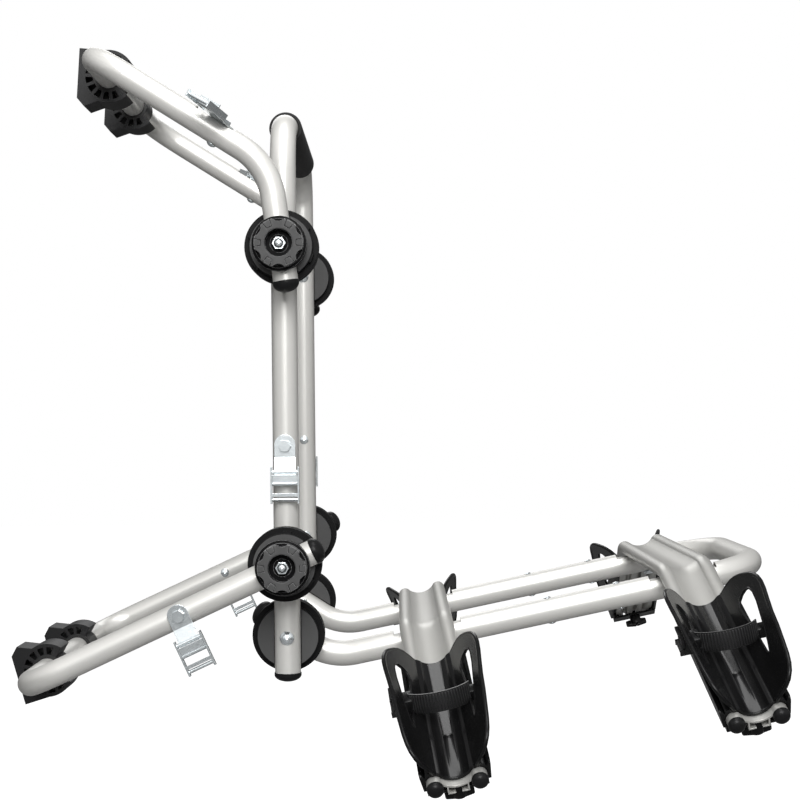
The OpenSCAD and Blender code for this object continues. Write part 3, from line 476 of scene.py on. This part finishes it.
def make_materials(scene):
    tube, plastic = scene.rack_tubes, scene.rack_plastics
    GROUPS["grain"] = make_grain_group()
    GROUPS["ring"] = make_ring_group()
    GROUPS["tone"] = make_tone_group()
    grain = 1.0 / plastic.grain
    MATERIALS["paint"] = finish_material(
        "tube_paint", tube.paint, tube.roughness, metallic=0.32, grain=620.0, bump=0.03,
        tone=0.965, drift=6.0, specular=0.3,
    )
    MATERIALS["channel"] = finish_material(
        "drawn_channel", tube.channel, 0.40, metallic=0.6, grain=260.0, bump=0.05,
        tone=0.96, stretch=(1.0, 0.03, 1.0), drift=5.0, edge=0.0006, specular=0.25,
    )
    MATERIALS["zinc"] = finish_material(
        "bright_zinc", tube.zinc, 0.25, metallic=0.9, grain=300.0, bump=0.012, tone=0.9,
        drift=40.0, edge=0.0005,
    )
    MATERIALS["hub"] = finish_material(
        "hub_grain", plastic.face, 0.52, grain=grain, bump=0.35, tone=0.9, edge=0.0007,
        specular=0.1,
    )
    MATERIALS["knob"] = finish_material(
        "knob_grain", plastic.face, 0.50, grain=grain, bump=0.35, tone=0.9, edge=0.0004,
        specular=0.1,
    )
    # Light grey painted highlight for the chamfered edges of the knobs
    MATERIALS["worn"] = finish_material(
        "rubbed_edge", (0.42, 0.42, 0.42), 0.40, grain=grain, bump=0.1, tone=0.7, edge=0.0,
        drift=90.0,
    )
    # Black: painted shade in the tab grooves, grip notches, nut bowl and channel slots, and the
    # colour of the knob's skirt
    MATERIALS["recess"] = finish_material(
        "recess_black", plastic.black, 0.42, grain=grain, bump=0.15, edge=0.0003, specular=0.04,
    )
    MATERIALS["cap"] = finish_material(
        "cap_black", (0.012, 0.012, 0.0125), 0.30, grain=grain, bump=0.08, edge=0.0006, tone=0.8,
        specular=0.12,
    )
    MATERIALS["holder"] = finish_material(
        "holder_gloss", plastic.black, 0.22, grain=700.0, bump=0.012, edge=0.0009,
        tone=0.8, specular=0.17,
    )
    MATERIALS["strap"] = finish_material(
        "strap_black", (0.016, 0.016, 0.0165), 0.34, grain=900.0, bump=0.06, edge=0.0003,
        tone=0.85, specular=0.4,
    )
    MATERIALS["pad"] = finish_material(
        "pad_rubber", (0.020, 0.020, 0.020), 0.45, grain=1300.0, bump=0.3, edge=0.0006, tone=0.8,
        specular=0.22,
    )
    MATERIALS["foam"] = finish_material(
        "foam_skin", plastic.rubber, 0.86, grain=520.0, bump=0.8, drop=0.0006, edge=0.0,
        tone=0.7, drift=30.0, spread=0.08,
    )


# Modelling steps

def deselect():
    if bpy.context.object and bpy.context.object.mode != "OBJECT":
        bpy.ops.object.mode_set(mode="OBJECT")
    bpy.ops.object.select_all(action="DESELECT")


def take(piece):
    deselect()
    bpy.context.view_layer.objects.active = piece
    piece.select_set(True)


def settle(piece, name):
    """Names a new piece and puts its place into its mesh."""
    take(piece)
    bpy.ops.object.transform_apply(location=True, rotation=True, scale=True)
    piece.name = name
    piece.data.name = name
    return piece


def cylinder(name, radius, depth, centre, corners=64, toward="Y"):
    """A cylinder round `centre` whose caps look along Y or Z."""
    deselect()
    bpy.ops.mesh.primitive_cylinder_add(
        vertices=corners, radius=radius, depth=depth, location=centre,
        rotation=(math.pi / 2, 0, 0) if toward == "Y" else (0, 0, 0),
    )
    return settle(bpy.context.object, name)


def cube(name, size, place):
    """A block with the given sides in metres, put in place by a matrix."""
    deselect()
    bpy.ops.mesh.primitive_cube_add(size=1.0)
    block = settle(bpy.context.object, name)
    block.data.transform(place @ Matrix.Diagonal((*size, 1.0)))
    return block


def face_outward(piece):
    take(piece)
    bpy.ops.object.mode_set(mode="EDIT")
    bpy.ops.mesh.select_all(action="SELECT")
    bpy.ops.mesh.normals_make_consistent(inside=False)
    bpy.ops.object.mode_set(mode="OBJECT")


def boolean(piece, operation, other, **values):
    """Unites a piece with another or cuts the other out of it, exactly."""
    return modify(piece, "BOOLEAN", operation=operation, solver="EXACT", object=other, **values)


def select_faces(piece, test):
    """Goes into edit mode with just the faces whose middle and normal pass the test."""
    take(piece)
    bpy.ops.object.mode_set(mode="EDIT")
    bpy.ops.mesh.select_all(action="DESELECT")
    bpy.ops.mesh.select_mode(type="FACE")
    bpy.ops.object.mode_set(mode="OBJECT")
    for face in piece.data.polygons:
        face.select = test(face.center, face.normal)
    bpy.ops.object.mode_set(mode="EDIT")


def step_cap(inset, move):
    """Insets the selected cap and moves it, for one more step of a turned profile."""
    bpy.ops.mesh.inset(thickness=inset, use_even_offset=True)
    if move:
        bpy.ops.transform.translate(value=(0, move, 0))


def raise_cap(move):
    bpy.ops.mesh.extrude_region_move(TRANSFORM_OT_translate={"value": (0, move, 0)})


def modify(piece, kind, **values):
    modifier = piece.modifiers.new(kind.lower(), kind)
    for key, value in values.items():
        setattr(modifier, key, value)
    take(piece)
    bpy.ops.object.modifier_apply(modifier=modifier.name)
    return piece


def smooth(piece, angle=35.0):
    take(piece)
    bpy.ops.object.shade_smooth_by_angle(angle=math.radians(angle), keep_sharp_edges=False)
    return piece


def copy_of(piece, name, matrix=None):
    """Another piece with its own mesh, moved by a matrix."""
    other = piece.copy()
    other.data = piece.data.copy()
    other.name = name
    other.data.name = name
    bpy.context.scene.collection.objects.link(other)
    if matrix is not None:
        other.data.transform(matrix)
        if matrix.determinant() < 0:
            other.data.flip_normals()
        other.data.update()
    return other


def join(pieces, name):
    deselect()
    for piece in pieces:
        piece.select_set(True)
    bpy.context.view_layer.objects.active = pieces[0]
    bpy.ops.object.join()
    pieces[0].name = name
    pieces[0].data.name = name
    return pieces[0]


def remove(piece):
    bpy.data.objects.remove(piece)


def paint_piece(piece, key):
    piece.data.materials.clear()
    piece.data.materials.append(MATERIALS[key])
    return piece


def keep(piece, body, slot, *nodes):
    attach(piece, body)
    if nodes:
        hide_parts(*nodes)
    return piece


def turn(axis, degrees):
    return Matrix.Rotation(math.radians(degrees), 4, axis)


def shift(x, y, z):
    return Matrix.Translation(Vector((x, y, z)) * MM)


MIRROR = Matrix.Diagonal((1, -1, 1, 1))


def platform_matrix():
    drop = math.radians(DROP_SLOPE)
    x = DROP_LENGTH * math.cos(drop)
    z = -PLATFORM_DROP - DROP_LENGTH * math.sin(drop)
    return shift(x, 0, z) @ turn("Y", -PLATFORM_SLOPE)


def slope_matrix(which, side):
    """Axes of a channel's end: Y runs back from the bend, Z square to the slope."""
    end = shift(0, -CHANNEL_FLAT, CHANNEL_RISE) @ turn("X", CHANNEL_SLOPE)
    place = platform_matrix() @ shift(CHANNEL_AT[which], 0, 0)
    return place @ (end if side < 0 else MIRROR @ end)


def channel_ends():
    """Word, label and axes of each of the four channel ends."""
    for which, word in enumerate(("inner", "outer")):
        for label, side in SIDES:
            yield word, label, slope_matrix(which, side)


# Pieces

def make_foam_sleeve():
    """Foam sleeve with slightly soft ends."""
    sleeve = cylinder(
        "foam_sleeve", SLEEVE_R * MM, SLEEVE_LENGTH * MM, (0, 0, TOP_BAR_Z * MM), corners=72
    )
    select_faces(sleeve, lambda middle, normal: abs(normal.y) > 0.9)
    bpy.ops.mesh.inset(thickness=(SLEEVE_R - TUBE_R - SLEEVE_GAP) * MM, use_individual=True)
    bpy.ops.mesh.bridge_edge_loops()
    select_faces(sleeve, lambda middle, normal: abs(normal.y) < 0.1 and abs(
        math.hypot(middle.x, middle.z - TOP_BAR_Z * MM) - SLEEVE_R * MM) < 0.0005)
    bpy.ops.mesh.subdivide(number_cuts=1)
    bpy.ops.object.mode_set(mode="OBJECT")
    modify(sleeve, "BEVEL", width=SLEEVE_EDGE * MM, segments=4, limit_method="ANGLE",
           angle_limit=math.radians(60))
    return smooth(sleeve, 50)


def make_tab_cutter(sizes, knob_r, face_y):
    """Thin outline of one tab, a trapezoid that is wider at the knob's edge."""
    deselect()
    bpy.ops.mesh.primitive_plane_add(size=1.0, location=(0, 0, 0), rotation=(math.pi / 2, 0, 0))
    line = settle(bpy.context.object, "tab_line")
    inner, outer = TAB_START * MM, knob_r + TAB_PAST * MM
    for vertex in line.data.vertices:
        far = vertex.co.x > 0
        half = (TAB_HALF_OUT if far else TAB_HALF_IN) * MM
        vertex.co = Vector((outer if far else inner, face_y, half if vertex.co.z > 0 else -half))
    take(line)
    bpy.ops.object.mode_set(mode="EDIT")
    bpy.ops.mesh.select_all(action="SELECT")
    bpy.ops.mesh.inset(thickness=sizes.groove, use_even_offset=True)
    bpy.ops.mesh.delete(type="FACE")
    bpy.ops.object.mode_set(mode="OBJECT")
    modify(line, "SOLIDIFY", thickness=TAB_LINE_DEPTH * MM, offset=0.0)
    face_outward(line)
    # The groove is painted black as painted shade
    return paint_piece(line, "recess")


def make_knob(sizes):
    """Hand knob at the origin, back at Y = 0 and face toward -Y."""
    skirt, knob_r, depth = KNOB_SKIRT_R * MM, KNOB_R * MM, KNOB_DEPTH * MM
    skirt_h, shoulder, edge = KNOB_SKIRT_H * MM, KNOB_SHOULDER * MM, KNOB_EDGE * MM
    knob = cylinder("knob", skirt, skirt_h, (0, -skirt_h / 2, 0), corners=96)
    paint_piece(knob, "knob")
    # Second material: black, painted shade in the recesses, and the skirt's colour
    knob.data.materials.append(MATERIALS["recess"])
    # Third material: the light grey painted highlight for the chamfers
    knob.data.materials.append(MATERIALS["worn"])
    select_faces(knob, lambda middle, normal: normal.y < -0.9)
    step_cap(skirt - knob_r, -shoulder)
    raise_cap(-(depth - skirt_h - shoulder - edge))
    step_cap(edge, -edge)
    step_cap(knob_r - edge - sizes.bowl - BOWL_EDGE * MM, 0)
    step_cap(BOWL_EDGE * MM, edge)
    raise_cap(BOWL_DEPTH * MM)
    step_cap(BOWL_SEAT * MM, 0.0)
    raise_cap(0.2 * MM)
    bpy.ops.object.mode_set(mode="OBJECT")
    notch = cylinder(
        "notch", NOTCH_R * MM, NOTCH_LENGTH * MM,
        (knob_r + NOTCH_OUT * MM, (NOTCH_BACK - NOTCH_LENGTH / 2) * MM, 0), corners=40,
    )
    # The notches are painted black as painted shade
    paint_piece(notch, "recess")
    cutters = []
    line = make_tab_cutter(sizes, knob_r, -depth)
    for step in range(sizes.tabs):
        angle = 360.0 * step / sizes.tabs
        cutters.append(copy_of(line, "tab_line_%d" % step, turn("Y", angle)))
        cutters.append(copy_of(
            notch, "notch_%d" % step, turn("Y", angle + 180.0 / sizes.tabs)
        ))
    for cutter in cutters:
        boolean(knob, "DIFFERENCE", cutter, material_mode="TRANSFER")
    for cutter in cutters + [line, notch]:
        remove(cutter)
    # The nut bowl is painted black as painted shade; the skirt is painted black too
    for face in knob.data.polygons:
        radius = math.hypot(face.center.x, face.center.z)
        on_skirt = face.center.y > -skirt_h - 0.7 * MM and radius > knob_r - 0.4 * MM
        if radius < sizes.bowl + 0.3 * MM or on_skirt:
            face.material_index = 1
    bore = cylinder("bore", BORE_R * MM, 3 * depth, (0, 0, 0), corners=40)
    boolean(knob, "DIFFERENCE", bore)
    remove(bore)
    # The chamfer takes the third material, a light grey painted highlight along the knob's edges
    modify(knob, "BEVEL", width=sizes.chamfer, segments=1, limit_method="ANGLE",
           angle_limit=math.radians(40), use_clamp_overlap=True, material=2)
    return smooth(knob, 35)


def make_strap_ribs(sizes):
    """Ribs across the outer face of a strap, in the axes of a channel's end."""
    ring = (STRAP_HALF ** 2 + STRAP_BULGE ** 2) / (2 * STRAP_BULGE)
    size = (sizes.pitch * RIB_SHARE, sizes.height * 2, (STRAP_W - RIB_MARGIN) * MM)
    rib = cube("rib", size, Matrix.Identity(4))
    modify(rib, "BEVEL", width=sizes.height * 0.45, segments=2)
    step = math.degrees(sizes.pitch / (ring * MM))
    reach = math.degrees(math.asin(STRAP_HALF * RIB_REACH / ring))
    count = int(reach / step)
    ribs = []
    stand = shift(0, -STRAP_AT, STRAP_H) @ turn("X", -STRAP_LEAN) @ shift(0, ring - STRAP_BULGE, 0)
    for index in range(-count, count + 1):
        place = stand @ turn("Z", index * step) @ shift(0, -(ring + STRAP_T / 2), 0)
        ribs.append(copy_of(rib, "rib_%d" % index, place))
    remove(rib)
    return smooth(paint_piece(join(ribs, "strap_ribs"), "strap"), 40)


def sweep(name, points, radius, closed=False, sides=3):
    """A round bead along points in millimetres, made a mesh."""
    deselect()
    curve = bpy.data.curves.new(name, "CURVE")
    curve.dimensions = "3D"
    curve.bevel_depth = radius
    curve.bevel_resolution = sides
    curve.use_fill_caps = True
    spline = curve.splines.new("POLY")
    spline.points.add(len(points) - 1)
    for point, place in zip(spline.points, points):
        point.co = (place[0] * MM, place[1] * MM, place[2] * MM, 1.0)
    spline.use_cyclic_u = closed
    bead = bpy.data.objects.new(name, curve)
    bpy.context.scene.collection.objects.link(bead)
    take(bead)
    bpy.ops.object.convert(target="MESH")
    modify(bpy.context.object, "WELD", merge_threshold=0.00001)
    return bpy.context.object


def ear_point(side, along, height, out=0.0):
    """A place on an ear's inner face, or `out` millimetres outside it."""
    lean = math.atan(EAR_LEAN)
    across = EAR_ROOT + EAR_LEAN * (height - EAR_LOW) + out * math.cos(lean)
    return (side * across, -along, height - out * math.sin(lean))


def make_plate(name, side, outline, out, thickness):
    """A flat plate in the plane of an ear."""
    plate = sweep(name, [ear_point(side, a, h, out) for a, h in outline], 0.0, closed=True)
    take(plate)
    bpy.ops.object.mode_set(mode="EDIT")
    bpy.ops.mesh.select_all(action="SELECT")
    bpy.ops.mesh.edge_face_add()
    bpy.ops.object.mode_set(mode="OBJECT")
    modify(plate, "SOLIDIFY", thickness=thickness * MM, offset=0.0)
    face_outward(plate)
    return plate


def make_block(low, high, soft=0.8):
    """A block with rounded edges between two corners in millimetres."""
    size = [(b - a) * MM for a, b in zip(low, high)]
    block = cube("block", size, shift(*[(a + b) / 2 for a, b in zip(low, high)]))
    return modify(block, "BEVEL", width=soft * MM, segments=2)


def make_lip():
    """Rounded rim over both lobes and through the bed, at a holder's outer end."""
    half = []
    for angle in range(0, 123, 10):
        turned = math.radians(angle)
        half.append((
            LOBE_GAP / 2 + LIP_LOBE_R * math.cos(turned), LIP_LOBE_R * math.sin(turned)
        ))
    for angle in range(-38, -91, -7):
        turned = math.radians(angle)
        half.append((
            LIP_WEB_R * math.cos(turned), WEB_DIP + WEB_R + LIP_WEB_R * math.sin(turned)
        ))
    route = [(-u, h) for u, h in half] + [(u, h) for u, h in reversed(half)]
    return sweep("lip", [(u, LIP_BACK - HOLDER_END, h) for u, h in route], LIP_R * MM)


def make_holder(sizes):
    """Wheel holder: the frame's trough and bridge, with wide leaning ears and round rims."""
    holder = copy_of(NODES["inner_holder_left"], "holder", slope_matrix(0, -1).inverted())
    modify(holder, "WELD", merge_threshold=0.000002)
    paint_piece(holder, "holder")
    top = make_block((-60, -330, COVER_TOP), (60, -60, 90))
    boolean(holder, "DIFFERENCE", top)
    remove(top)
    parts = [holder]
    for side in (-1, 1):
        ear = make_plate("ear", side, EAR_OUTLINE, EAR_WALL / 2, EAR_WALL)
        window = make_plate("window", side, EAR_WINDOW, EAR_WALL / 2, EAR_WALL * 4)
        boolean(ear, "DIFFERENCE", window)
        remove(window)
        rim = [ear_point(side, a, max(h, RIM_LOW), RIM_OUT) for a, h in EAR_OUTLINE]
        bead = [ear_point(side, a, h, BEAD_OUT) for a, h in EAR_WINDOW]
        parts += [ear, sweep("rim", rim, sizes.bead)]
        parts.append(sweep("bead", bead, sizes.window_bead, closed=True))
    parts.append(make_lip())
    parts += [make_block(*RATCHET_BLOCK), make_block(*ANCHOR_BLOCK)]
    for part in parts[1:]:
        paint_piece(part, "holder")
    return smooth(join(parts, "holder"), 40)


def make_wing():
    """Wing knob under a channel: a round boss with two rounded, tapering wings."""
    deep = WING_DEEP * MM
    boss = cylinder("wing", WING_BOSS_R * MM, deep, (0, 0, -deep / 2), corners=48, toward="Z")
    for side in (-1, 1):
        wing = cube(
            "blade", (WING_HALF * MM, WING_THICK * MM, deep),
            shift(side * WING_HALF / 2, 0, WING_BLADE_Z),
        )
        select_faces(wing, lambda middle, normal: normal.x * side > 0.9)
        bpy.ops.transform.resize(value=WING_TAPER)
        bpy.ops.object.mode_set(mode="OBJECT")
        modify(wing, "BEVEL", width=WING_SOFT * MM, segments=4)
        boolean(boss, "UNION", wing)
        remove(wing)
    stem = cylinder("stem", STEM_R * MM, deep, (0, 0, deep / 4), corners=32, toward="Z")
    boolean(boss, "UNION", stem)
    remove(stem)
    modify(boss, "BEVEL", width=0.5 * MM, segments=3, limit_method="ANGLE",
           angle_limit=math.radians(50))
    return smooth(paint_piece(boss, "holder"), 50)


def make_side_slot():
    """A slot painted dark as the shade inside an opening, with a thin rim, to lie on the side of a
    channel's box.
    """
    slot = cube("side_slot", [side * MM for side in SIDE_SLOT], Matrix.Identity(4))
    select_faces(slot, lambda middle, normal: normal.x < -0.9)
    bpy.ops.mesh.inset(thickness=SIDE_SLOT_RIM * MM)
    bpy.ops.transform.translate(value=(SIDE_SLOT_DIP * MM, 0, 0))
    bpy.ops.object.mode_set(mode="OBJECT")
    # The slot's face is painted black as the shade inside the opening
    return paint_piece(slot, "recess")


# Operators

class RackOperator:
    bl_options = {"REGISTER", "UNDO"}


class OBJECT_OT_rack_dress_tubes(RackOperator, bpy.types.Operator):
    """Paints the bent tubes and gives the channels their drawn aluminium"""

    bl_idname = "object.rack_dress_tubes"
    bl_label = "Finish Tubes and Channels"

    def execute(self, context):
        dress(["upright_frame", "upper_arm_frame", "lower_arm_frame", "platform_frame"],
              MATERIALS["paint"])
        dress(["inner_channel", "outer_channel"], MATERIALS["channel"])
        return {"FINISHED"}


class OBJECT_OT_rack_dress_hubs(RackOperator, bpy.types.Operator):
    """Gives the hinge discs grained grey faces with black rims"""

    bl_idname = "object.rack_dress_hubs"
    bl_label = "Finish Hinge Discs"

    def execute(self, context):
        plastic = context.scene.rack_plastics
        arms = ((0.0, 0.0), (0.0, HINGE_RISE * MM))
        low = ((0.0, -PLATFORM_DROP * MM),)
        for name, centres in (
            ("upright_arm_discs", arms), ("upper_arm_discs", arms[1:]),
            ("lower_arm_discs", arms[:1]), ("upright_platform_discs", low),
            ("platform_discs", low),
        ):
            finish = MATERIALS["hub"].copy()
            finish.name = name + "_finish"
            add_hub_faces(finish, plastic.black, centres, HUB_FACE_R * MM)
            dress([name], finish)
        return {"FINISHED"}


class OBJECT_OT_rack_dress_details(RackOperator, bpy.types.Operator):
    """Finishes caps, bolts, buckles, pads, wheel holders and straps"""

    bl_idname = "object.rack_dress_details"
    bl_label = "Finish Small Parts"

    def execute(self, context):
        for name in NODES:
            if "end_caps" in name:
                dress([name], MATERIALS["cap"])
            elif "fasteners" in name or "bolts" in name:
                dress([name], MATERIALS["zinc"])
            elif "buckle" in name or "cam" in name:
                dress([name], MATERIALS["zinc"])
            elif "holder" in name or "wing" in name:
                dress([name], MATERIALS["holder"])
            elif "strap" in name or "ratchet" in name:
                dress([name], MATERIALS["strap"])
        plastic = context.scene.rack_plastics
        for arm, foot in (("upper", FOOT_UPPER), ("lower", FOOT_LOWER)):
            finish = MATERIALS["pad"].copy()
            finish.name = arm + "_pad_finish"
            add_hub_faces(
                finish, plastic.rubber, [(foot[0] * MM, foot[1] * MM)], PAD_HUB_R * MM,
            )
            dress(["%s_pad_%s" % (arm, label) for label, side in SIDES], finish)
        return {"FINISHED"}


class OBJECT_OT_rack_add_sleeve(RackOperator, bpy.types.Operator):
    """Adds the foam sleeve on the top bar"""

    bl_idname = "object.rack_add_sleeve"
    bl_label = "Add Foam Sleeve"

    def execute(self, context):
        sleeve = paint_piece(make_foam_sleeve(), "foam")
        keep(sleeve, "upright", "foam", "top_bar_sleeve")
        return {"FINISHED"}


class OBJECT_OT_rack_add_knobs(RackOperator, bpy.types.Operator):
    """Adds the four hand knobs with their outlined tabs"""

    bl_idname = "object.rack_add_knobs"
    bl_label = "Add Hand Knobs"

    def execute(self, context):
        pattern = make_knob(context.scene.rack_knobs)
        for arm, height in (("upper", HINGE_RISE), ("lower", 0.0)):
            for label, side in SIDES:
                node = "%s_knob_%s" % (arm, label)
                low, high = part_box(node)
                back = high.y if side < 0 else low.y
                place = Matrix.Translation((0, back, height * MM))
                if side > 0:
                    place = place @ turn("Z", 180)
                knob = copy_of(pattern, "%s_hand_knob_%s" % (arm, label), place)
                keep(knob, node, "knob_plastic", node)
        remove(pattern)
        return {"FINISHED"}


class OBJECT_OT_rack_add_holders(RackOperator, bpy.types.Operator):
    """Adds the four wheel holders with their leaning ears, windows and rims"""

    bl_idname = "object.rack_add_holders"
    bl_label = "Add Wheel Holders"

    def execute(self, context):
        pattern = make_holder(context.scene.rack_holders)
        for word, label, place in channel_ends():
            node = "%s_holder_%s" % (word, label)
            keep(copy_of(pattern, node + "_shell", place), node, "holder_plastic", node)
        remove(pattern)
        return {"FINISHED"}


class OBJECT_OT_rack_add_wings(RackOperator, bpy.types.Operator):
    """Adds the four wing knobs under the channels"""

    bl_idname = "object.rack_add_wings"
    bl_label = "Add Wing Knobs"

    def execute(self, context):
        pattern = make_wing()
        for word, label, end in channel_ends():
            place = end @ shift(0, -WING_AT, WING_TOP)
            node = "%s_wing_%s" % (word, label)
            keep(copy_of(pattern, node + "_knob", place), node, "holder_plastic", node)
        remove(pattern)
        return {"FINISHED"}


class OBJECT_OT_rack_add_slots(RackOperator, bpy.types.Operator):
    """Adds the slots in the sides of the channels, between the platform tubes, painted dark as the
    shade inside them
    """

    bl_idname = "object.rack_add_slots"
    bl_label = "Add Channel Slots"

    def execute(self, context):
        pattern = make_side_slot()
        height = (SLOT_BOTTOM + SIDE_SLOT_TOP) / 2 + CHANNEL_RISE
        for which, word in enumerate(("inner", "outer")):
            slots = []
            for place in SIDE_SLOT_AT:
                for side in (-1, 1):
                    stand = platform_matrix() @ shift(
                        CHANNEL_AT[which] + side * (SLOT_OUT + SIDE_SLOT_OUT), place, height)
                    if side > 0:
                        stand = stand @ turn("Z", 180)
                    slots.append(copy_of(pattern, "slot", stand))
            keep(join(slots, word + "_channel_slots"), "platform", "channel_metal")
        remove(pattern)
        return {"FINISHED"}


class OBJECT_OT_rack_add_ribs(RackOperator, bpy.types.Operator):
    """Adds the ribs on the four wheel straps"""

    bl_idname = "object.rack_add_ribs"
    bl_label = "Add Strap Ribs"

    def execute(self, context):
        pattern = make_strap_ribs(context.scene.rack_straps)
        for word, label, place in channel_ends():
            ribs = copy_of(pattern, "%s_strap_ribs_%s" % (word, label), place)
            keep(ribs, "%s_holder_%s" % (word, label), "strap_plastic")
        remove(pattern)
        return {"FINISHED"}


def add_lamp(name, place, aim, size, power):
    lamp = bpy.data.lights.new(name, "AREA")
    lamp.shape = "DISK"
    lamp.size = size
    lamp.energy = power
    holder = bpy.data.objects.new(name, lamp)
    bpy.context.scene.collection.objects.link(holder)
    holder.location = place
    look = Vector(aim) - Vector(place)
    holder.rotation_euler = look.to_track_quat("-Z", "Y").to_euler()


class SCENE_OT_rack_stage(RackOperator, bpy.types.Operator):
    """Sets up the floor, the pale surroundings, the lamps and the camera"""

    bl_idname = "scene.rack_stage"
    bl_label = "Set Up the Stage"

    def execute(self, context):
        scene = context.scene
        settings = scene.rack_stage
        scene.view_settings.view_transform = "Standard"
        world = bpy.data.worlds.new("pale_room")
        scene.world = world
        world.use_nodes = True
        tree = world.node_tree
        sky = tree.nodes["Background"]
        path = tree.nodes.new("ShaderNodeLightPath")
        place = tree.nodes.new("ShaderNodeTexCoord")
        parts = tree.nodes.new("ShaderNodeSeparateXYZ")
        tree.links.new(place.outputs["Generated"], parts.inputs[0])
        height = map_range(tree, parts.outputs["Z"], (-0.5, 0.35), (0.2, 1.0))
        depth = map_range(tree, parts.outputs["Y"], (-0.5, 0.6), (1.0, 0.22))
        diffuse = math_node(tree, "MULTIPLY", height, settings.room)
        shade = math_node(tree, "MULTIPLY", height, depth)
        glossy = math_node(tree, "MULTIPLY", path.outputs["Is Glossy Ray"], shade)
        clear = math_node(tree, "MAXIMUM", path.outputs["Is Camera Ray"],
                          path.outputs["Is Transmission Ray"])
        strength = math_node(tree, "MAXIMUM", diffuse, math_node(tree, "MAXIMUM", glossy, clear))
        sky.inputs["Color"].default_value = (1.0, 1.0, 1.0, 1.0)
        tree.links.new(strength, sky.inputs["Strength"])

        deselect()
        bpy.ops.mesh.primitive_plane_add(
            size=FLOOR_WIDTH, location=(0, 0, settings.floor_height)
        )
        floor = settle(bpy.context.object, "floor")
        paper = bpy.data.materials.new("pale_floor")
        paper.use_nodes = True
        tree = paper.node_tree
        shader = tree.nodes["Principled BSDF"]
        shader.inputs["Base Color"].default_value = (FLOOR_GREY, FLOOR_GREY, FLOOR_GREY, 1.0)
        shader.inputs["Roughness"].default_value = 0.9
        path = tree.nodes.new("ShaderNodeLightPath")
        seen = math_node(tree, "MAXIMUM", path.outputs["Is Camera Ray"],
                         path.outputs["Is Transmission Ray"])
        shader.inputs["Emission Color"].default_value = (1.0, 1.0, 1.0, 1.0)
        tree.links.new(seen, shader.inputs["Emission Strength"])
        floor.data.materials.append(paper)

        for name, power, place, aim, width in LAMPS:
            add_lamp(name, place, aim, width, getattr(settings, power))

        camera = bpy.data.cameras.new("camera")
        camera.sensor_width = 36.0
        camera.lens = CAMERA_LENS
        camera.shift_x, camera.shift_y = CAMERA_SHIFT
        eye = bpy.data.objects.new("camera", camera)
        scene.collection.objects.link(eye)
        right = CAMERA_RIGHT.normalized()
        back = Vector((0.0, -1.0, 0.0))
        up = back.cross(right).normalized()
        eye.matrix_world = Matrix((
            (right.x, up.x, back.x, CAMERA_AT.x),
            (right.y, up.y, back.y, CAMERA_AT.y),
            (right.z, up.z, back.z, CAMERA_AT.z),
            (0, 0, 0, 1),
        ))
        scene.camera = eye
        return {"FINISHED"}


class VIEW3D_PT_rack(bpy.types.Panel):
    """Lists the rack's pieces, sizes and colours"""

    bl_idname = "VIEW3D_PT_rack"
    bl_label = "Rear Rack"
    bl_space_type = "VIEW_3D"
    bl_region_type = "UI"
    bl_category = "Rear Rack"

    def draw(self, context):
        for operator in OPERATORS:
            self.layout.operator(operator.bl_idname)
        for key, group in GROUP_PROPERTIES:
            box = self.layout.box()
            for name in group.__annotations__:
                box.prop(getattr(context.scene, key), name)


GROUP_PROPERTIES = (
    ("rack_tubes", TubeFinish), ("rack_plastics", PlasticFinish), ("rack_knobs", KnobSizes),
    ("rack_straps", StrapSizes), ("rack_holders", HolderSizes), ("rack_stage", StageSettings),
)
OPERATORS = (
    SCENE_OT_rack_stage, OBJECT_OT_rack_dress_tubes, OBJECT_OT_rack_dress_hubs,
    OBJECT_OT_rack_dress_details, OBJECT_OT_rack_add_sleeve, OBJECT_OT_rack_add_knobs,
    OBJECT_OT_rack_add_ribs, OBJECT_OT_rack_add_holders, OBJECT_OT_rack_add_wings,
    OBJECT_OT_rack_add_slots,
)


def register():
    for key, group in GROUP_PROPERTIES:
        bpy.utils.register_class(group)
        setattr(bpy.types.Scene, key, PointerProperty(type=group))
    for operator in OPERATORS:
        bpy.utils.register_class(operator)
    bpy.utils.register_class(VIEW3D_PT_rack)


def unregister():
    bpy.utils.unregister_class(VIEW3D_PT_rack)
    for operator in reversed(OPERATORS):
        bpy.utils.unregister_class(operator)
    for key, group in reversed(GROUP_PROPERTIES):
        delattr(bpy.types.Scene, key)
        bpy.utils.unregister_class(group)


def main():
    register()
    make_materials(bpy.context.scene)
    bpy.ops.scene.rack_stage()
    bpy.ops.object.rack_dress_tubes()
    bpy.ops.object.rack_dress_hubs()
    bpy.ops.object.rack_dress_details()
    bpy.ops.object.rack_add_sleeve()
    bpy.ops.object.rack_add_knobs()
    bpy.ops.object.rack_add_ribs()
    bpy.ops.object.rack_add_holders()
    bpy.ops.object.rack_add_wings()
    bpy.ops.object.rack_add_slots()


if __name__ == "__main__":
    main()
